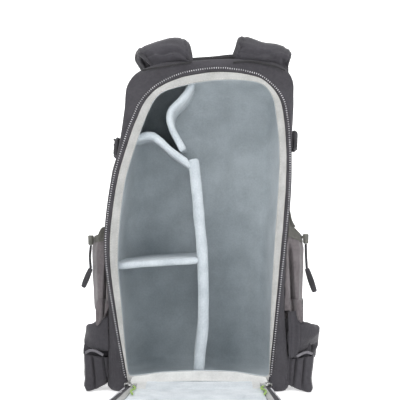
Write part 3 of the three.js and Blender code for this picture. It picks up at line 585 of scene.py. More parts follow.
# %% A row of small blocks along a line
def row_tree():
    tree = bpy.data.node_groups.new("row along a line", "GeometryNodeTree")
    tree.interface.new_socket("Line", in_out="INPUT", socket_type="NodeSocketGeometry")
    for name, kind in (("Pitch", "NodeSocketFloat"), ("Size", "NodeSocketVector"),
                       ("Finish", "NodeSocketMaterial")):
        tree.interface.new_socket(name, in_out="INPUT", socket_type=kind)
    tree.interface.new_socket("Row", in_out="OUTPUT", socket_type="NodeSocketGeometry")
    start = add_node(tree, "NodeGroupInput").outputs
    line = add_node(tree, "GeometryNodeMeshToCurve", {"Mesh": start["Line"]})
    spaced = add_node(tree, "GeometryNodeResampleCurve", {"Curve": line.outputs[0],
                                                          "Length": start["Pitch"]}, mode="LENGTH")
    block = add_node(tree, "GeometryNodeMeshCube", {"Size": start["Size"]})
    bulged = add_node(tree, "GeometryNodeSubdivisionSurface", {"Mesh": block.outputs["Mesh"],
                                                               "Level": 1})
    smooth = add_node(tree, "GeometryNodeSetShadeSmooth", {"Geometry": bulged.outputs[0]})
    tangent = add_node(tree, "GeometryNodeInputTangent")
    facing = add_node(tree, "GeometryNodeInputNamedAttribute", {"Name": "facing"},
                      data_type="FLOAT_VECTOR")
    along = add_node(tree, "FunctionNodeAlignRotationToVector", {"Vector": tangent.outputs[0]}, axis="X")
    upright = add_node(tree, "FunctionNodeAlignRotationToVector",
                       {"Rotation": along.outputs[0], "Vector": facing.outputs[0]},
                       axis="Z", pivot_axis="X")
    blocks = add_node(tree, "GeometryNodeInstanceOnPoints", {"Points": spaced.outputs[0],
                                                             "Instance": smooth.outputs[0],
                                                             "Rotation": upright.outputs[0]})
    real = add_node(tree, "GeometryNodeRealizeInstances", {"Geometry": blocks.outputs[0]})
    finished = add_node(tree, "GeometryNodeSetMaterial", {"Geometry": real.outputs[0],
                                                          "Material": start["Finish"]})
    add_node(tree, "NodeGroupOutput", {"Row": finished.outputs[0]})
    return tree


ROW = row_tree()


def row_along(name, line, facing, pitch, size, finish, slot, *nodes, closed=False):
    """Sets blocks of one size along a line. facing is one direction, or one for each point."""
    count = len(line)
    edges = [(k, k + 1) for k in range(count - 1)] + ([(count - 1, 0)] if closed else [])
    piece = new_piece(name, (line, edges, []))
    ways = facing if isinstance(facing, list) else [facing] * count
    attribute = piece.data.attributes.new("facing", "FLOAT_VECTOR", "POINT")
    attribute.data.foreach_set("vector", [value for way in ways for value in way])
    modifier = piece.modifiers.new("row", "NODES")
    modifier.node_group = ROW
    sockets = {item.name: item.identifier for item in ROW.interface.items_tree if item.in_out == "INPUT"}
    modifier[sockets["Pitch"]] = pitch
    modifier[sockets["Size"]] = size
    modifier[sockets["Finish"]] = finish
    settle(piece)
    return dress(piece, finish, slot, *nodes)


# %% [markdown]
# ## The zip and the binding
#
# A coil zip shows as a fine row of pale bumps on a dark tape. The coil's real pitch is about 1.5 mm,
# which is close to a pixel, so the bumps are drawn twice as far apart.
# The cream binding is ribbon folded over the edge of the lining, so it is a low rounded band with a
# seam along each side.

# %% Zip tape, teeth and binding
TOOTH_PITCH = 3.0 * MM
TOOTH = (1.5 * MM, 2.7 * MM, 2.4 * MM)
STITCH_PITCH = 3.4 * MM
STITCH = (2.6 * MM, 0.7 * MM, 0.6 * MM)
BACKWARDS = Vector((0, -1, 0))
UPWARDS = Vector((0, 0, 1))

dress(refine("zip_tape_cloth", "zip_tape", 1), ZIP_TAPE, "zip_tape", "zip_tape")
row_along("zip_teeth", zip_line, BACKWARDS, TOOTH_PITCH, TOOTH, COIL, "zip_teeth", "zip_chain")
row_along("panel_zip_teeth", panel_zip_line, UPWARDS, TOOTH_PITCH, TOOTH, COIL, "zip_teeth",
          "flap_zip_chain")

binding = refine("opening_ribbon", "opening_binding", 2, crease=0.2)
press(binding, lambda place, normal: 0.35 * MM * noise.noise(place / (16 * MM)))
dress(binding, GROSGRAIN, "binding", "opening_binding")

binding_sides = ring_around("opening_binding", OPENING_HUB, "y")
for name, share in (("inner", 0.16), ("outer", 0.84)):
    seam = [near.lerp(far, share) for near, far in binding_sides]
    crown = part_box("opening_binding")[0].y + 0.35 * MM
    seam = [Vector((point.x, crown, point.z)) for point in seam]
    row_along(f"ribbon_stitches_{name}", seam, BACKWARDS, STITCH_PITCH, STITCH, PALE_THREAD, "binding",
              closed=True)

# %% [markdown]
# ## Piping and seams
#
# A cord in a cloth sleeve is sewn into the seam behind the zip, so the rear edge keeps its shape. Rays
# cast inwards at one depth find the outside of the body there. Lock stitches run along both side seams.

# %% Piping and stitches round the body
PIPING_DEPTH = 7.5 * MM
PIPING_DIAMETER = 3.0 * MM
PIPING_SUNK = 1.0 * MM
EDGE_STITCH_INSET = 4.5 * MM
EDGE_STITCH_LOW, EDGE_STITCH_HIGH = 24 * MM, 110 * MM


def round_body(y, count=360):
    """Points round the outside of the body at one depth, with the way that the cloth faces."""
    points, facings = [], []
    hub = Vector((0.0, y, 220 * MM))
    for k in range(count):
        angle = -math.pi / 2 + 2 * math.pi * (k + 0.5) / count
        aim = Vector((math.cos(angle), 0.0, math.sin(angle)))
        place, normal = body_tree.ray_cast(hub + aim, -aim, 1.0)[:2]
        if place is not None:
            points.append(place)
            facings.append(normal)
    return points, facings


places, facings = round_body(REAR_Y + PIPING_DEPTH)
places = [place - PIPING_SUNK * facing for place, facing in zip(places, facings)]
places = [Vector((p.x, p.y, max(p.z, PIPING_DIAMETER / 2 + 0.2 * MM))) for p in places]
piping = sweep("edge_piping", places, Vector((0, 1, 0)),
               rounded(PIPING_DIAMETER, PIPING_DIAMETER + 0.1 * MM))
dress(piping, PACK_CLOTH, "nylon")
places, facings = round_body(REAR_Y + 1.5 * MM)
inset = [Vector((p.x, REAR_Y - 0.1 * MM, p.z)) - EDGE_STITCH_INSET * Vector((n.x, 0, n.z)).normalized()
         for p, n in zip(places, facings)]
for name, sign in (("left", -1), ("right", 1)):
    edge = [place for place in inset
            if EDGE_STITCH_LOW < place.z < EDGE_STITCH_HIGH and place.x * sign > 0]
    row_along(f"edge_stitches_{name}", edge, BACKWARDS, STITCH_PITCH, STITCH, DARK_THREAD, "nylon")
for name, line in zip(("rear", "front"), SIDE_SEAMS):
    for number, offset in enumerate((-4 * MM, 4 * MM)):
        places, facings = round_body(line + offset)
        upper = [k for k, place in enumerate(places) if place.z > 6 * MM]
        row_along(f"side_stitches_{name}_{number}", [places[k] + facings[k] * 0.2 * MM for k in upper],
                  [facings[k] for k in upper], STITCH_PITCH, STITCH, DARK_THREAD, "nylon")

# %% [markdown]
# ## The front of the body
#
# The far side, under the straps, is a front panel sewn in with a double seam, with a plain zipped
# pocket across its upper half. Rays cast from in front lay both on the cloth.

# %% Front panel and its pocket zip
FRONT_HALF_WIDTH, FRONT_LOW, FRONT_HIGH, FRONT_CORNER = 74 * MM, 48 * MM, 372 * MM, 34 * MM
POCKET_ZIP_Z, POCKET_ZIP_SAG = 292 * MM, 6 * MM


def on_front(x, z, lift=0.2 * MM):
    place, normal = body_tree.ray_cast(Vector((x, 0.5, z)), Vector((0, -1, 0)))[:2]
    return place + normal * lift, normal


def panel_outline(inset, steps=10):
    """A rectangle with round corners on the front of the body."""
    spots = []
    reach_x, low, high = FRONT_HALF_WIDTH - inset, FRONT_LOW + inset, FRONT_HIGH - inset
    corners = [(reach_x, high, 0), (-reach_x, high, 90), (-reach_x, low, 180), (reach_x, low, 270)]
    for x, z, first in corners:
        hub_x, hub_z = x - math.copysign(FRONT_CORNER, x), z - math.copysign(FRONT_CORNER, z - 200 * MM)
        for k in range(steps + 1):
            angle = math.radians(first + 90 * k / steps)
            spots.append((hub_x + FRONT_CORNER * math.cos(angle), hub_z + FRONT_CORNER * math.sin(angle)))
    dense = []
    for (ax, az), (bx, bz) in zip(spots, spots[1:] + spots[:1]):
        parts = max(1, round(math.hypot(bx - ax, bz - az) / (8 * MM)))
        dense += [(ax + (bx - ax) * k / parts, az + (bz - az) * k / parts) for k in range(parts)]
    return [on_front(x, z) for x, z in dense]


def along_zip(reach, step, lift, offset=0.0):
    """Points and facings on the curve of the pocket's zip, from -reach to reach in mm."""
    return [on_front(x * MM, POCKET_ZIP_Z - POCKET_ZIP_SAG * (1 - (x / 70) ** 2) + offset, lift)
            for x in range(-reach, reach + 1, step)]


for number, inset in enumerate((0.0, 5 * MM)):
    found = panel_outline(inset)
    row_along(f"front_stitches_{number}", [p for p, _ in found], [n for _, n in found], STITCH_PITCH,
              STITCH, DARK_THREAD, "nylon", closed=True)
found = along_zip(66, 6, 0.9 * MM)
tape = sweep("front_zip_tape", [p for p, _ in found], UPWARDS, rounded(1.4 * MM, 17 * MM))
dress(tape, ZIP_TAPE, "nylon")
row_along("front_zip_teeth", [p + n * 0.9 * MM for p, n in found], [n for _, n in found], TOOTH_PITCH,
          TOOTH, COIL, "zip_teeth")
for name, offset in (("over", 10 * MM), ("under", -10 * MM)):
    found = along_zip(68, 4, 1.0 * MM, offset)
    welt = sweep(f"front_zip_welt_{name}", [p for p, _ in found], UPWARDS, rounded(3.0 * MM, 5 * MM))
    dress(welt, PACK_CLOTH, "nylon")

# %% [markdown]
# ## Dividers
#
# The dividers are foam walls in the same loop cloth, held by hook tape, with the cloth bound over the
# rear edge, which catches the light. They are softened so that their edges are round, and dented a
# little.

# %% Dividers
for node in ("divider_spine", "divider_diagonal", "divider_crown", "divider_cross"):
    wall = soften(f"{node}_pad", node, 2.2 * MM, 3)
    press(wall, lambda place, normal: 0.8 * MM * (noise.noise(place / (28 * MM)) + 0.3))
    dress(wall, DIVIDER_EDGE, "lining", node)

# %% [markdown]
# ## The rear panel
#
# The panel that the harness is sewn to lies folded down on the floor, with its lining up. Its foam is
# softened and quilted by the weight of the bag's edge, and the lining is a thin cloth inside a
# bound frame.

# %% Panel, its lining and binding
panel = soften("panel_pad", "flap_panel", 3.0 * MM, 5)
press(panel, lambda place, normal: -1.2 * MM * crumple(place, 45 * MM) if normal.z > -0.5 else 0.0)
dress(panel, PACK_CLOTH, "nylon", "flap_panel")

panel_lining = refine("panel_lining_cloth", "flap_lining", 4, crease=0.3)
press(panel_lining, lambda place, normal:
      -0.9 * MM * crumple(place, 30 * MM, (1, 2.2, 1)) if normal.z > 0.5 else 0.0)
# The panel's lining is the loop cloth painted lighter: painted light where it lies face up
dress(panel_lining, PAINTED_LIGHT_LINING, "lining", "flap_lining")
dress(refine("panel_ribbon", "flap_binding", 2, crease=0.2), GROSGRAIN, "binding", "flap_binding")

# %% [markdown]
# ## The hinge of the panel
#
# The panel isn't cut off: its lining runs on over the sill into the tub. A strip of the same cloth
# bridges the fold, between two ribbons, and the sill above it is bound in the same ribbon. The cloth and
# these ribbons are painted lighter: painted light where they face the lamps. Each strip is a
# surface between two lines, thickened by Solidify.

# %% Sill and hinge
def strip(name, rows, finish, slot, thickness=1.2 * MM, rule=None):
    """A strip of cloth through rows of points, each as long as the next, reshaped by a rule."""
    across = len(rows[0])
    points = [place for row in rows for place in row]
    faces = [(r * across + k, r * across + k + 1, (r + 1) * across + k + 1, (r + 1) * across + k)
             for r in range(len(rows) - 1) for k in range(across - 1)]
    piece = new_piece(name, (points, [], faces))
    wall = piece.modifiers.new("cloth", "SOLIDIFY")
    wall.thickness = thickness
    wall.offset = 0.0
    smooth = piece.modifiers.new("finer", "SUBSURF")
    smooth.levels = smooth.render_levels = 2
    settle(piece)
    if rule:
        reshape(piece, rule)
    return dress(piece, finish, slot)


SILL_HALF_WIDTH = 92 * MM
sill = [(near, far) for near, far in binding_sides if near.z < 40 * MM and abs(near.x) < SILL_HALF_WIDTH]
sill.sort(key=lambda pair: pair[0].x)
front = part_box("opening_binding")[0].y
# Rows of the ribbon over the sill: share of the binding's width, and mm in front of its face
SILL_RISE = [(0.0, -0.9), (0.3, -1.6), (0.65, -2.6), (0.95, -4.6), (1.05, -6.4)]
rows = [[Vector((near.lerp(far, share).x, front + out * MM, near.lerp(far, share).z))
         for near, far in sill[::3]] for share, out in SILL_RISE]
# The sill's ribbon is drawn lighter than the rest of the binding: painted light
strip("sill_ribbon", rows, PAINTED_LIGHT_RIBBON, "binding")

# The fold of the hinge from the tub out over the sill, as (y, z) in mm
HINGE = [(-90.5, 15.6), (-92.5, 14.2), (-96, 13.9), (-101, 14.1), (-107, 13.8), (-113, 13.2),
         (-118, 12.4), (-124, 10.8)]
# The hinge cloth and its two ribbons take the lighter copies of their cloths: painted light
for name, left, right, finish, slot in (("hinge_cloth", -71, 69, PAINTED_LIGHT_LINING, "lining"),
                                        ("hinge_ribbon_left", -83, -70, PAINTED_LIGHT_RIBBON, "binding"),
                                        ("hinge_ribbon_right", 68, 79, PAINTED_LIGHT_RIBBON, "binding")):
    steps = max(2, round((right - left) / 6))
    rows = [[Vector(((left + (right - left) * k / steps) * MM, y * MM, z * MM)) for k in range(steps + 1)]
            for y, z in HINGE]
    strip(name, rows, finish, slot)

# %% [markdown]
# ## Shoulder straps
#
# A shoulder strap is foam between two cloths, bound along both edges. It comes out of the top rear
# seam, folds over the top and hangs down the front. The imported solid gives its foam. Each point of it
# is measured against the strap's middle line, so that the seams and the creases at the fold can be
# pressed in, and ribbon is swept along both edges.

# %% The middle lines of the straps
BODY = {"half_width": 120 * MM, "depth": 165 * MM, "height": 447 * MM}
STRAP_HALF_WIDTH = 36.5 * MM
# x in shares of the half width, y of the depth from the rear face, z of the height
STRAP_ROUTES = {
    "left": (17, [(-0.375, 0.060, 0.930), (-0.380, 0.045, 1.000), (-0.405, 0.120, 1.038),
                  (-0.435, 0.270, 1.044), (-0.480, 0.470, 1.016), (-0.530, 0.680, 0.976),
                  (-0.575, 0.860, 0.900), (-0.590, 0.950, 0.780), (-0.600, 0.995, 0.600),
                  (-0.600, 1.035, 0.420)]),
    "right": (-11, [(0.680, 0.060, 0.930), (0.690, 0.045, 1.000), (0.725, 0.120, 1.040),
                    (0.735, 0.270, 1.046), (0.720, 0.470, 1.018), (0.690, 0.680, 0.978),
                    (0.655, 0.860, 0.900), (0.635, 0.950, 0.780), (0.620, 0.995, 0.600),
                    (0.610, 1.035, 0.420)]),
}


def flat_line(rows, y):
    """A smooth line through rows of (x, z) at one depth, all in mm."""
    return smooth_line([Vector((x * MM, y * MM, z * MM)) for x, z in rows], 6)


def in_body(x, y, z):
    return Vector((x * BODY["half_width"], REAR_Y + y * BODY["depth"], z * BODY["height"]))


def depth_in_body(place):
    """How far a point lies under the outer cloth of the body; less than 0 outside it."""
    near, normal, _, _ = body_tree.find_nearest(place)
    return -(place - near).dot(normal)


def above_cloth(line, depth=2 * MM):
    """The part of a line up from where it leaves the cloth of the body for the last time."""
    start = max([k for k, place in enumerate(line) if depth_in_body(place) > depth], default=-1)
    return line[start + 1:]


print("strap lines:", {name: len(rows) for name, (_, rows) in STRAP_ROUTES.items()})

# %% Shoulder straps
# The middle at the fold, drop of the upper corner, sag between the edges, and how far the outer edge is
# drawn in at the foot, from which height up
STRAP_SHAPES = {
    "left": (-50 * MM, 12 * MM, 0.0, 17 * MM, 432 * MM, 454 * MM),
    "right": (87 * MM, 8 * MM, 4.5 * MM, -4 * MM, 440 * MM, 462 * MM),
}
STRAP_FOOT_DEPTH = 8 * MM
# The hollow at the right strap's outer corner, where the pad is pulled down
HOLLOW_DEPTH = 9 * MM
# The stitched seam inside each bound edge, and the sewn-down foot
EDGE_SEAM = (7.5 * MM, 1.6 * MM, 1.8 * MM)
FOOT_SEAM = (36 * MM, 2.4 * MM, 2.6 * MM)
FOLD_PLACE, FOLD_WIDTH = 30 * MM, 16 * MM
# The depth of the thin black strips of painted shade along the straps' feet
FOOT_SHADE_Y = -83.6
# Where each strap is sewn to the body, as (x, z) in mm
STRAP_FEET = {
    "left": [(-77, 427.5), (-62, 430.5), (-46.5, 432.8), (-28, 436), (-11, 438.6)],
    "right": [(44, 438.2), (66, 439.4), (86, 436.3), (101, 432.6), (113, 427.6)],
}


def make_strap(side):
    tilt, rows = STRAP_ROUTES[side]
    wide = Vector((math.cos(math.radians(tilt)), 0.0, math.sin(math.radians(tilt))))
    line = smooth_line([in_body(*row) for row in rows], 8)
    ways = [(wide - t * wide.dot(t)).normalized() for t in tangents(line)]
    lengths = [0.0]
    for a, b in zip(line, line[1:]):
        lengths.append(lengths[-1] + (b - a).length)

    middle_x, corner_drop, sag, base_pull, base_low, base_high = STRAP_SHAPES[side]

    def strap_shape(place):
        """Rounds the corner of the fold and draws the strap in where it is sewn down."""
        across = (place.x - middle_x) / wide.x
        top = ease(place.z, 428 * MM, 448 * MM) * (1 - ease(place.y, 0.0, 40 * MM))
        near = max(1 - ease(place.y, -60 * MM, -40 * MM), ease(place.z, 385 * MM, 415 * MM))
        base = near * (1 - ease(place.z, base_low, base_high))
        drop = corner_drop * max(0.0, across / STRAP_HALF_WIDTH - 0.12) ** 1.8
        drop += sag * ridge(across, 0, 18 * MM)
        foot = (1 - ease(place.z, 438 * MM, 452 * MM)) * (1 - ease(place.y, -60 * MM, -45 * MM))
        hollow = HOLLOW_DEPTH * ridge(across, 29 * MM, 7 * MM) * ridge(place.z, 441 * MM, 7 * MM) \
            * (1 - ease(place.y, -60 * MM, -45 * MM)) if side == "right" else 0.0
        return (base_pull * base * ease(-across, 5 * MM, 36 * MM), STRAP_FOOT_DEPTH * foot + hollow,
                -drop * top)

    def strap_relief(place, normal):
        k = min(range(len(line)), key=lambda i: (
            place - line[i] - ways[i] * (place - line[i]).dot(ways[i])).length_squared)
        across = (place - line[k]).dot(ways[k])
        edge = STRAP_HALF_WIDTH - abs(across)
        crown = 1.3 * MM * (1 - (across / STRAP_HALF_WIDTH) ** 2)
        seam = -EDGE_SEAM[2] * ridge(edge, EDGE_SEAM[0], EDGE_SEAM[1])
        fold = ridge(lengths[k], FOLD_PLACE, FOLD_WIDTH)
        crease = -2.4 * MM * fold * crumple(place, 15 * MM, (0.5, 1, 1.4))
        slack = 0.6 * MM * noise.noise(place / (30 * MM))
        wander = 8 * MM * noise.noise(place / (25 * MM))
        sewn = -FOOT_SEAM[2] * ridge(lengths[k], FOOT_SEAM[0] + wander, FOOT_SEAM[1])
        return crown + seam + crease + slack + sewn

    pad = soften(f"shoulder_strap_pad_{side}", f"shoulder_strap_{side}", 2.4 * MM, 4)
    press(pad, strap_relief)
    reshape(pad, strap_shape)
    # The pad's cloth is the pack cloth darkened as painted shade
    dress(pad, STRAP_SHADE_CLOTH, "nylon", f"shoulder_strap_{side}")
    for edge, sign in (("outer", -1), ("inner", 1)):
        reach = STRAP_HALF_WIDTH - 3.2 * MM
        ribbon_line = above_cloth([p + w * sign * reach for p, w in zip(line, ways)])
        ribbon = sweep(f"strap_ribbon_{side}_{edge}", ribbon_line, wide, rounded(5.2 * MM, 8 * MM))
        reshape(ribbon, strap_shape)
        dress(ribbon, WEBBING, "nylon")


make_strap("left")
make_strap("right")
# The handle's route, as (x, z) in mm
HANDLE_Y = -64
HANDLE_LINE = [(-14, 442.0), (-5, 442.6), (10, 443.6), (24, 444.8), (37, 446.4), (46, 446.8)]
handle = sweep("grab_handle_webbing", flat_line(HANDLE_LINE, HANDLE_Y), Vector((0, 1, 0)),
               rounded(8 * MM, 24 * MM))
dress(handle, DARK_HANDLE_AND_SHADE, "nylon", "grab_handle")
# Along each strap's foot a thin black strip: painted shade in the crease where the strap leaves the seam
for side, rows in STRAP_FEET.items():
    foot_shade = sweep(f"strap_foot_shade_{side}", flat_line(rows, FOOT_SHADE_Y), UPWARDS,
                      rounded(1.6 * MM, 2.4 * MM))
    dress(foot_shade, DARK_HANDLE_AND_SHADE, "nylon")

# %% [markdown]
# ## Hip wings, stow sleeves and side pockets
#
# The hip wings are foam pads folded forward round the sides. Below them the sleeves that take the belt
# are plain cloth. The pockets are stretch cloth with a gathered foot and an elastic rim. Foam and cloth
# are softened by voxels as fine as their walls, then pressed with long folds that run up and down.

# %% Wings, sleeves and pockets
# Grooves that run up and down a piece, as (x low, z low, x high, z high, depth, width) in mm
SLEEVE_GROOVES = {
    "left": [(-139.5, 4, -144, 52, 5.0, 1.4), (-123.5, 4, -130.5, 52, 5.0, 1.4)],
    "right": [(124.5, 4, 129.5, 52, 5.0, 1.4), (136, 4, 140, 52, 4.0, 1.2)],
}
POCKET_FOLDS = {
    "left": [(-129.5, 96, -124.5, 190, 12.0, 1.7)],
    "right": [(126, 90, 118.5, 208, 14.0, 2.9)],
}


def grooves(rows):
    """A rule that carries the rear side of a piece forwards, away from the eye, along each groove."""
    def move(place):
        depth = 0.0
        for x_low, z_low, x_high, z_high, deep, width in rows:
            share = (place.z / MM - z_low) / (z_high - z_low)
            middle = x_low + (x_high - x_low) * share
            ends = ease(share, -0.1, 0.1) * (1 - ease(share, 0.75, 1.05))
            depth += deep * ends * ridge(place.x / MM, middle, width)
        return (0.0, depth * MM * (1 - ease(place.y, -58 * MM, -40 * MM)), 0.0)
    return move


def sleeve_corner(place):
    """The sleeve's foot spreads on the floor, with its outer corner towards the eye."""
    low = (1 - ease(place.z, 2 * MM, 18 * MM)) * ease(abs(place.x), 132 * MM, 150 * MM)
    outwards = math.copysign(3.0 * MM, place.x) * low
    tongue = 6 * MM * ridge(place.x, 142 * MM, 8 * MM) * (1 - ease(place.z, 1 * MM, 12 * MM))
    return (outwards, -7 * MM * low - tongue, -min(3 * MM * low, max(0.0, place.z - 0.4 * MM)))


def wing_shape(place):
    """The wing's lower corner is lifted outwards on the left and cut back under on the right."""
    outer = ease(abs(place.x), 132 * MM, 152 * MM) * (1 - ease(place.y, -60 * MM, -30 * MM))
    low = 1 - ease(place.z, 58 * MM, 80 * MM)
    if place.x < 0:
        return (-(2.0 + 3.5 * low) * MM * outer, 0.0, 0.0)
    dip = 4 * MM * ridge(place.x, 139 * MM, 7 * MM) * ease(place.z, 88 * MM, 98 * MM)
    return ((2.5 - 4.5 * low) * MM * outer, 11 * MM * outer * low, -2 * MM * outer * (1 - low) - dip)


for side in ("left", "right"):
    wing = soften(f"hip_wing_pad_{side}", f"hip_wing_{side}", 2.4 * MM, 4)
    press(wing, lambda place, normal: -1.6 * MM * crumple(place, 20 * MM, (1, 0.6, 1)))
    dress(reshape(wing, wing_shape), PACK_CLOTH, "nylon", f"hip_wing_{side}")
    sleeve = soften(f"belt_sleeve_cloth_{side}", f"belt_sleeve_{side}", 1.0 * MM, 3)
    press(sleeve, lambda place, normal: 0.5 * MM * noise.noise(place / (12 * MM)))
    reshape(reshape(sleeve, grooves(SLEEVE_GROOVES[side])), sleeve_corner)
    dress(sleeve, PACK_CLOTH, "nylon", f"belt_sleeve_{side}")
    pocket = soften(f"side_pocket_knit_{side}", f"side_pocket_{side}", 1.15 * MM, 4)
    press(pocket, lambda place, normal: 0.5 * MM * noise.noise(place / (14 * MM)))
    dress(reshape(pocket, grooves(POCKET_FOLDS[side])), STRETCH_KNIT, "stretch", f"side_pocket_{side}")
    rim = refine(f"pocket_rim_elastic_{side}", f"pocket_rim_{side}", 2, crease=0.3)
    dress(rim, OLIVE_BINDING, "trim", f"pocket_rim_{side}")

# %% [markdown]
# ## Gussets between the side pieces
#
# Behind the gap between a wing and its sleeve a gusset of pack cloth joins both to the body. The
# stretch cloth of each pocket ends in a gathered foot that is sewn down over the root of the wing.

# %% Gussets and pocket feet
# Each gusset's finish, slot and rows of (y, z, inner x, outer x) in mm
GUSSETS = {
    "wing_gusset_left": (PACK_CLOTH, "nylon", [(-62, 68, -118, -155), (-63, 56, -118, -158),
                                               (-64, 44, -119, -158)]),
    "wing_gusset_right": (PACK_CLOTH, "nylon", [(-60, 72, 115, 150), (-62, 56, 115, 150),
                                                (-64, 42, 115, 149)]),
    "sleeve_root_right": (PACK_CLOTH, "nylon", [(-72, 47, 114, 124), (-73, 30, 115, 124),
                                                (-72, 6, 115, 123)]),
    "wing_root_right": (PACK_CLOTH, "nylon", [(-76, 108, 117, 131), (-78, 88, 118, 134),
                                              (-78, 66, 118, 134), (-77, 44, 118, 130)]),
    "pocket_foot_left": (STRETCH_KNIT, "stretch", [(-70, 122, -120, -138), (-76, 114, -120, -139.5),
                                                   (-79.5, 107, -124, -139.5), (-80.2, 96, -130, -138.8),
                                                   (-80.2, 88, -136.2, -138.4)]),
    "pocket_foot_right": (STRETCH_KNIT, "stretch", [(-72, 122, 113, 136), (-77, 114, 113, 137.5),
                                                    (-79.5, 108, 119, 137.5), (-80.2, 99, 128, 137.2),
                                                    (-80.2, 92, 134, 137)]),
    "pocket_crown_right": (OLIVE_BINDING, "trim", [(-76, 242, 115, 120.5), (-77, 234, 115, 121.5),
                                                   (-77, 226, 115, 123.5), (-77, 219, 115, 129)]),
    "pocket_crown_left": (OLIVE_BINDING, "trim", [(-72, 219.5, -124, -130), (-74, 216, -121, -134),
                                                  (-75, 208, -120, -137), (-74, 200, -120, -138)]),
}
for name, (finish, slot, rows) in GUSSETS.items():
    lines = [[Vector((inner + (outer - inner) * k / 6, y + 1.2 * math.sin(2.3 * k) * (k % 6 > 0), z)) * MM
              for k in range(7)] for y, z, inner, outer in rows]
    folds = grooves(POCKET_FOLDS[name.rsplit("_", 1)[1]]) if name.startswith("pocket_foot") else None
    strip(name, lines, finish, slot, 2.0 * MM, folds)
HEM_Y = -79.4
# The hems round the mouths of the sleeves, as (x, z) in mm
SLEEVE_HEMS = {
    "left": [(-153, 51.5), (-146, 55), (-138, 53.5), (-129, 48.5)],
    "right": [(129, 46.5), (136, 50.5), (143, 52.5), (150, 50)],
}
for side, rows in SLEEVE_HEMS.items():
    hem = sweep(f"sleeve_hem_{side}", flat_line(rows, HEM_Y), UPWARDS, rounded(2.0 * MM, 3.6 * MM))
    dress(hem, HEM_TAPE, "nylon")

# %% [markdown]
# ## Cords and their locks
#
# Each side pocket closes with an elastic cord that leaves its barrel lock and ends in a flat pull tab.
# Two short green cords tied to the zip pulls lie on the panel. A cord is a tube swept along the same
# points as in the CAD model.

# %% Cords
def tube(name, line, diameter, sides=10):
    turns = [2 * math.pi * k / sides for k in range(sides)]
    ring = [(diameter / 2 * math.cos(a), diameter / 2 * math.sin(a)) for a in turns]
    return sweep(name, line, Vector((0.02, 1, 0.03)).normalized(), ring)


def soft_block(name, node, width=0.6 * MM):
    """A moulded or cast piece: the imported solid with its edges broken."""
    form = cad_copy(node)
    bmesh.ops.dissolve_limit(form, angle_limit=math.radians(2), verts=form.verts, edges=form.edges)
    piece = new_piece(name, form)
    bevel = piece.modifiers.new("broken edges", "BEVEL")
    bevel.width = width
    bevel.segments = 2
    bevel.limit_method = "ANGLE"
    bevel.angle_limit = math.radians(30)
    return settle(piece)


CORD_DIAMETER = 3.4 * MM
PULL_CORD_DIAMETER = 2.6 * MM
LOCK_HALF_HEIGHT = 6.8 * MM
POCKET_HEIGHT = 206 * MM
# x in shares of the half width, y of the depth, z of the pocket's height: the lock, the cord's middle
# and its end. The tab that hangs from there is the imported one.
HANGING = {
    "left": [(-1.232, 0.148, 0.976), (-1.242, 0.142, 0.864), (-1.232, 0.136, 0.791)],
    "right": [(1.194, 0.148, 0.985), (1.196, 0.142, 0.879), (1.204, 0.136, 0.791)],
}
for side, rows in HANGING.items():
    lock, middle, end = [in_body(x, y, z * POCKET_HEIGHT / BODY["height"]) for x, y, z in rows]
    barrel = soft_block(f"barrel_lock_{side}", f"cord_lock_{side}", 2.4 * MM)
    dress(barrel, GREY_ACETAL, "plastic", f"cord_lock_{side}")
    tab = refine(f"pull_tab_{side}", f"cord_tab_{side}", 2, crease=0.3)
    press(tab, lambda place, normal: 0.9 * MM)
    dress(tab, WEBBING, "cord", f"cord_tab_{side}")
    inwards = Vector((-math.copysign(1, lock.x), 0, 0))
    loop_line = smooth_line([lock, lock + Vector((inwards.x * 5, -1, 2.5)) * MM,
                             lock + Vector((inwards.x * 12, 0, 3)) * MM], 4)
    dress(tube(f"lock_loop_{side}", loop_line, 3.6 * MM), OLIVE_BINDING, "trim")
    mouth = lock - Vector((0, 0, LOCK_HALF_HEIGHT))
    line = smooth_line([mouth, middle, end], 8)
    cord = tube(f"elastic_cord_{side}", line, CORD_DIAMETER)
    dress(cord, BLACK_CORD, "cord", f"pocket_cord_{side}")

PULL_CORD_HEIGHT = 14.6 * MM
PULL_CORDS = {
    "left": [(-0.717, 0.215), (-0.692, 0.300), (-0.725, 0.409), (-0.700, 0.530)],
    "right": [(0.683, 0.215), (0.650, 0.300), (0.692, 0.409), (0.667, 0.530)],
}
for side, rows in PULL_CORDS.items():
    points = [Vector((x * BODY["half_width"], REAR_Y - reach * BODY["depth"], PULL_CORD_HEIGHT))
              for x, reach in rows]
    line = smooth_line(points, 8)
    cord = tube(f"green_cord_{side}", line, PULL_CORD_DIAMETER)
    dress(cord, GREEN_CORD, "green_cord", f"pull_cord_{side}")
    plate = soft_block(f"slider_pull_{side}", f"zip_pull_{side}", 0.3 * MM)
    dress(plate, NICKEL, "metal", f"zip_pull_{side}")
    slider = soft_block(f"slider_body_{side}", f"zip_slider_{side}", 0.7 * MM)
    dress(slider, NICKEL, "metal", f"zip_slider_{side}")

# %% [markdown]
# ## Buckles and webbing
#
# The compression straps cross the sides under a buckle, and webbing leads from the foot of each
# shoulder strap through a ladder lock to the lower corner of the body.

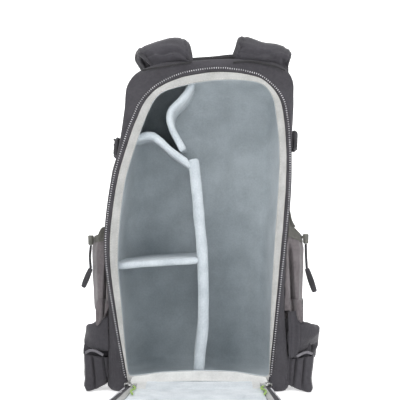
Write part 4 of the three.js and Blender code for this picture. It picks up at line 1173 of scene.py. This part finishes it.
# %% Compression straps, buckles, ladder locks and webbing
WEBBING_ROUTES = {
    "left": [(0.633, 1.037, 0.349), (0.700, 1.045, 0.304), (0.867, 1.033, 0.251), (1.083, 0.948, 0.206),
             (1.172, 0.755, 0.179), (1.174, 0.530, 0.161), (1.125, 0.330, 0.150), (0.933, 0.185, 0.143)],
    "right": [(0.633, 1.037, 0.347), (0.717, 1.045, 0.304), (0.900, 1.021, 0.260), (1.110, 0.924, 0.237),
              (1.210, 0.742, 0.230), (1.215, 0.530, 0.224), (1.150, 0.330, 0.197), (0.900, 0.173, 0.174)],
}
WEBBING_WIDTH, WEBBING_THICKNESS = 25 * MM, 1.6 * MM
BUCKLE_SQUEEZE = 0.35
RIB_PITCH = 6.2 * MM
RIB = (4.2 * MM, 26 * MM, 2.8 * MM)
for side, sign in (("left", -1), ("right", 1)):
    strap = refine(f"compression_webbing_{side}", f"compression_strap_{side}", 2, crease=0.5)
    dress(strap, WEBBING, "nylon", f"compression_strap_{side}")
    buckle = soft_block(f"side_buckle_{side}", f"compression_buckle_{side}", 1.6 * MM)
    inner, outer = sorted((corner.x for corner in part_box(f"compression_buckle_{side}")), key=abs)
    reshape(buckle, lambda place: ((inner - place.x) * BUCKLE_SQUEEZE, 0.0, 0.0))
    low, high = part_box(f"compression_buckle_{side}")
    rib_x = inner + (1 - BUCKLE_SQUEEZE) * (outer - inner)
    ribs = [Vector((rib_x, (low.y + high.y) / 2, z)) for z in (low.z + 4 * MM, high.z - 3 * MM)]
    row_along(f"buckle_ribs_{side}", ribs, Vector((sign, 0, 0)), RIB_PITCH, RIB, ACETAL, "plastic")
    dress(buckle, ACETAL, "plastic", f"compression_buckle_{side}")
    ladder = soft_block(f"ladder_lock_body_{side}", f"ladder_lock_{side}", 0.7 * MM)
    dress(ladder, ACETAL, "plastic", f"ladder_lock_{side}")
    line = smooth_line([in_body(sign * x, y, z) for x, y, z in WEBBING_ROUTES[side]], 8)
    last = len(line) - 1
    ways = [Vector((sign * max(0.0, 1 - 2.2 * k / last), 0.0, 0.15 + 2 * k / last))
            for k in range(last + 1)]
    outside = list(reversed(above_cloth(list(reversed(line)), 3 * MM)))
    webbing = sweep(f"strap_webbing_band_{side}", outside, ways[:len(outside)],
                    rounded(WEBBING_THICKNESS, WEBBING_WIDTH))
    dress(webbing, WEBBING, "nylon", f"strap_webbing_{side}")
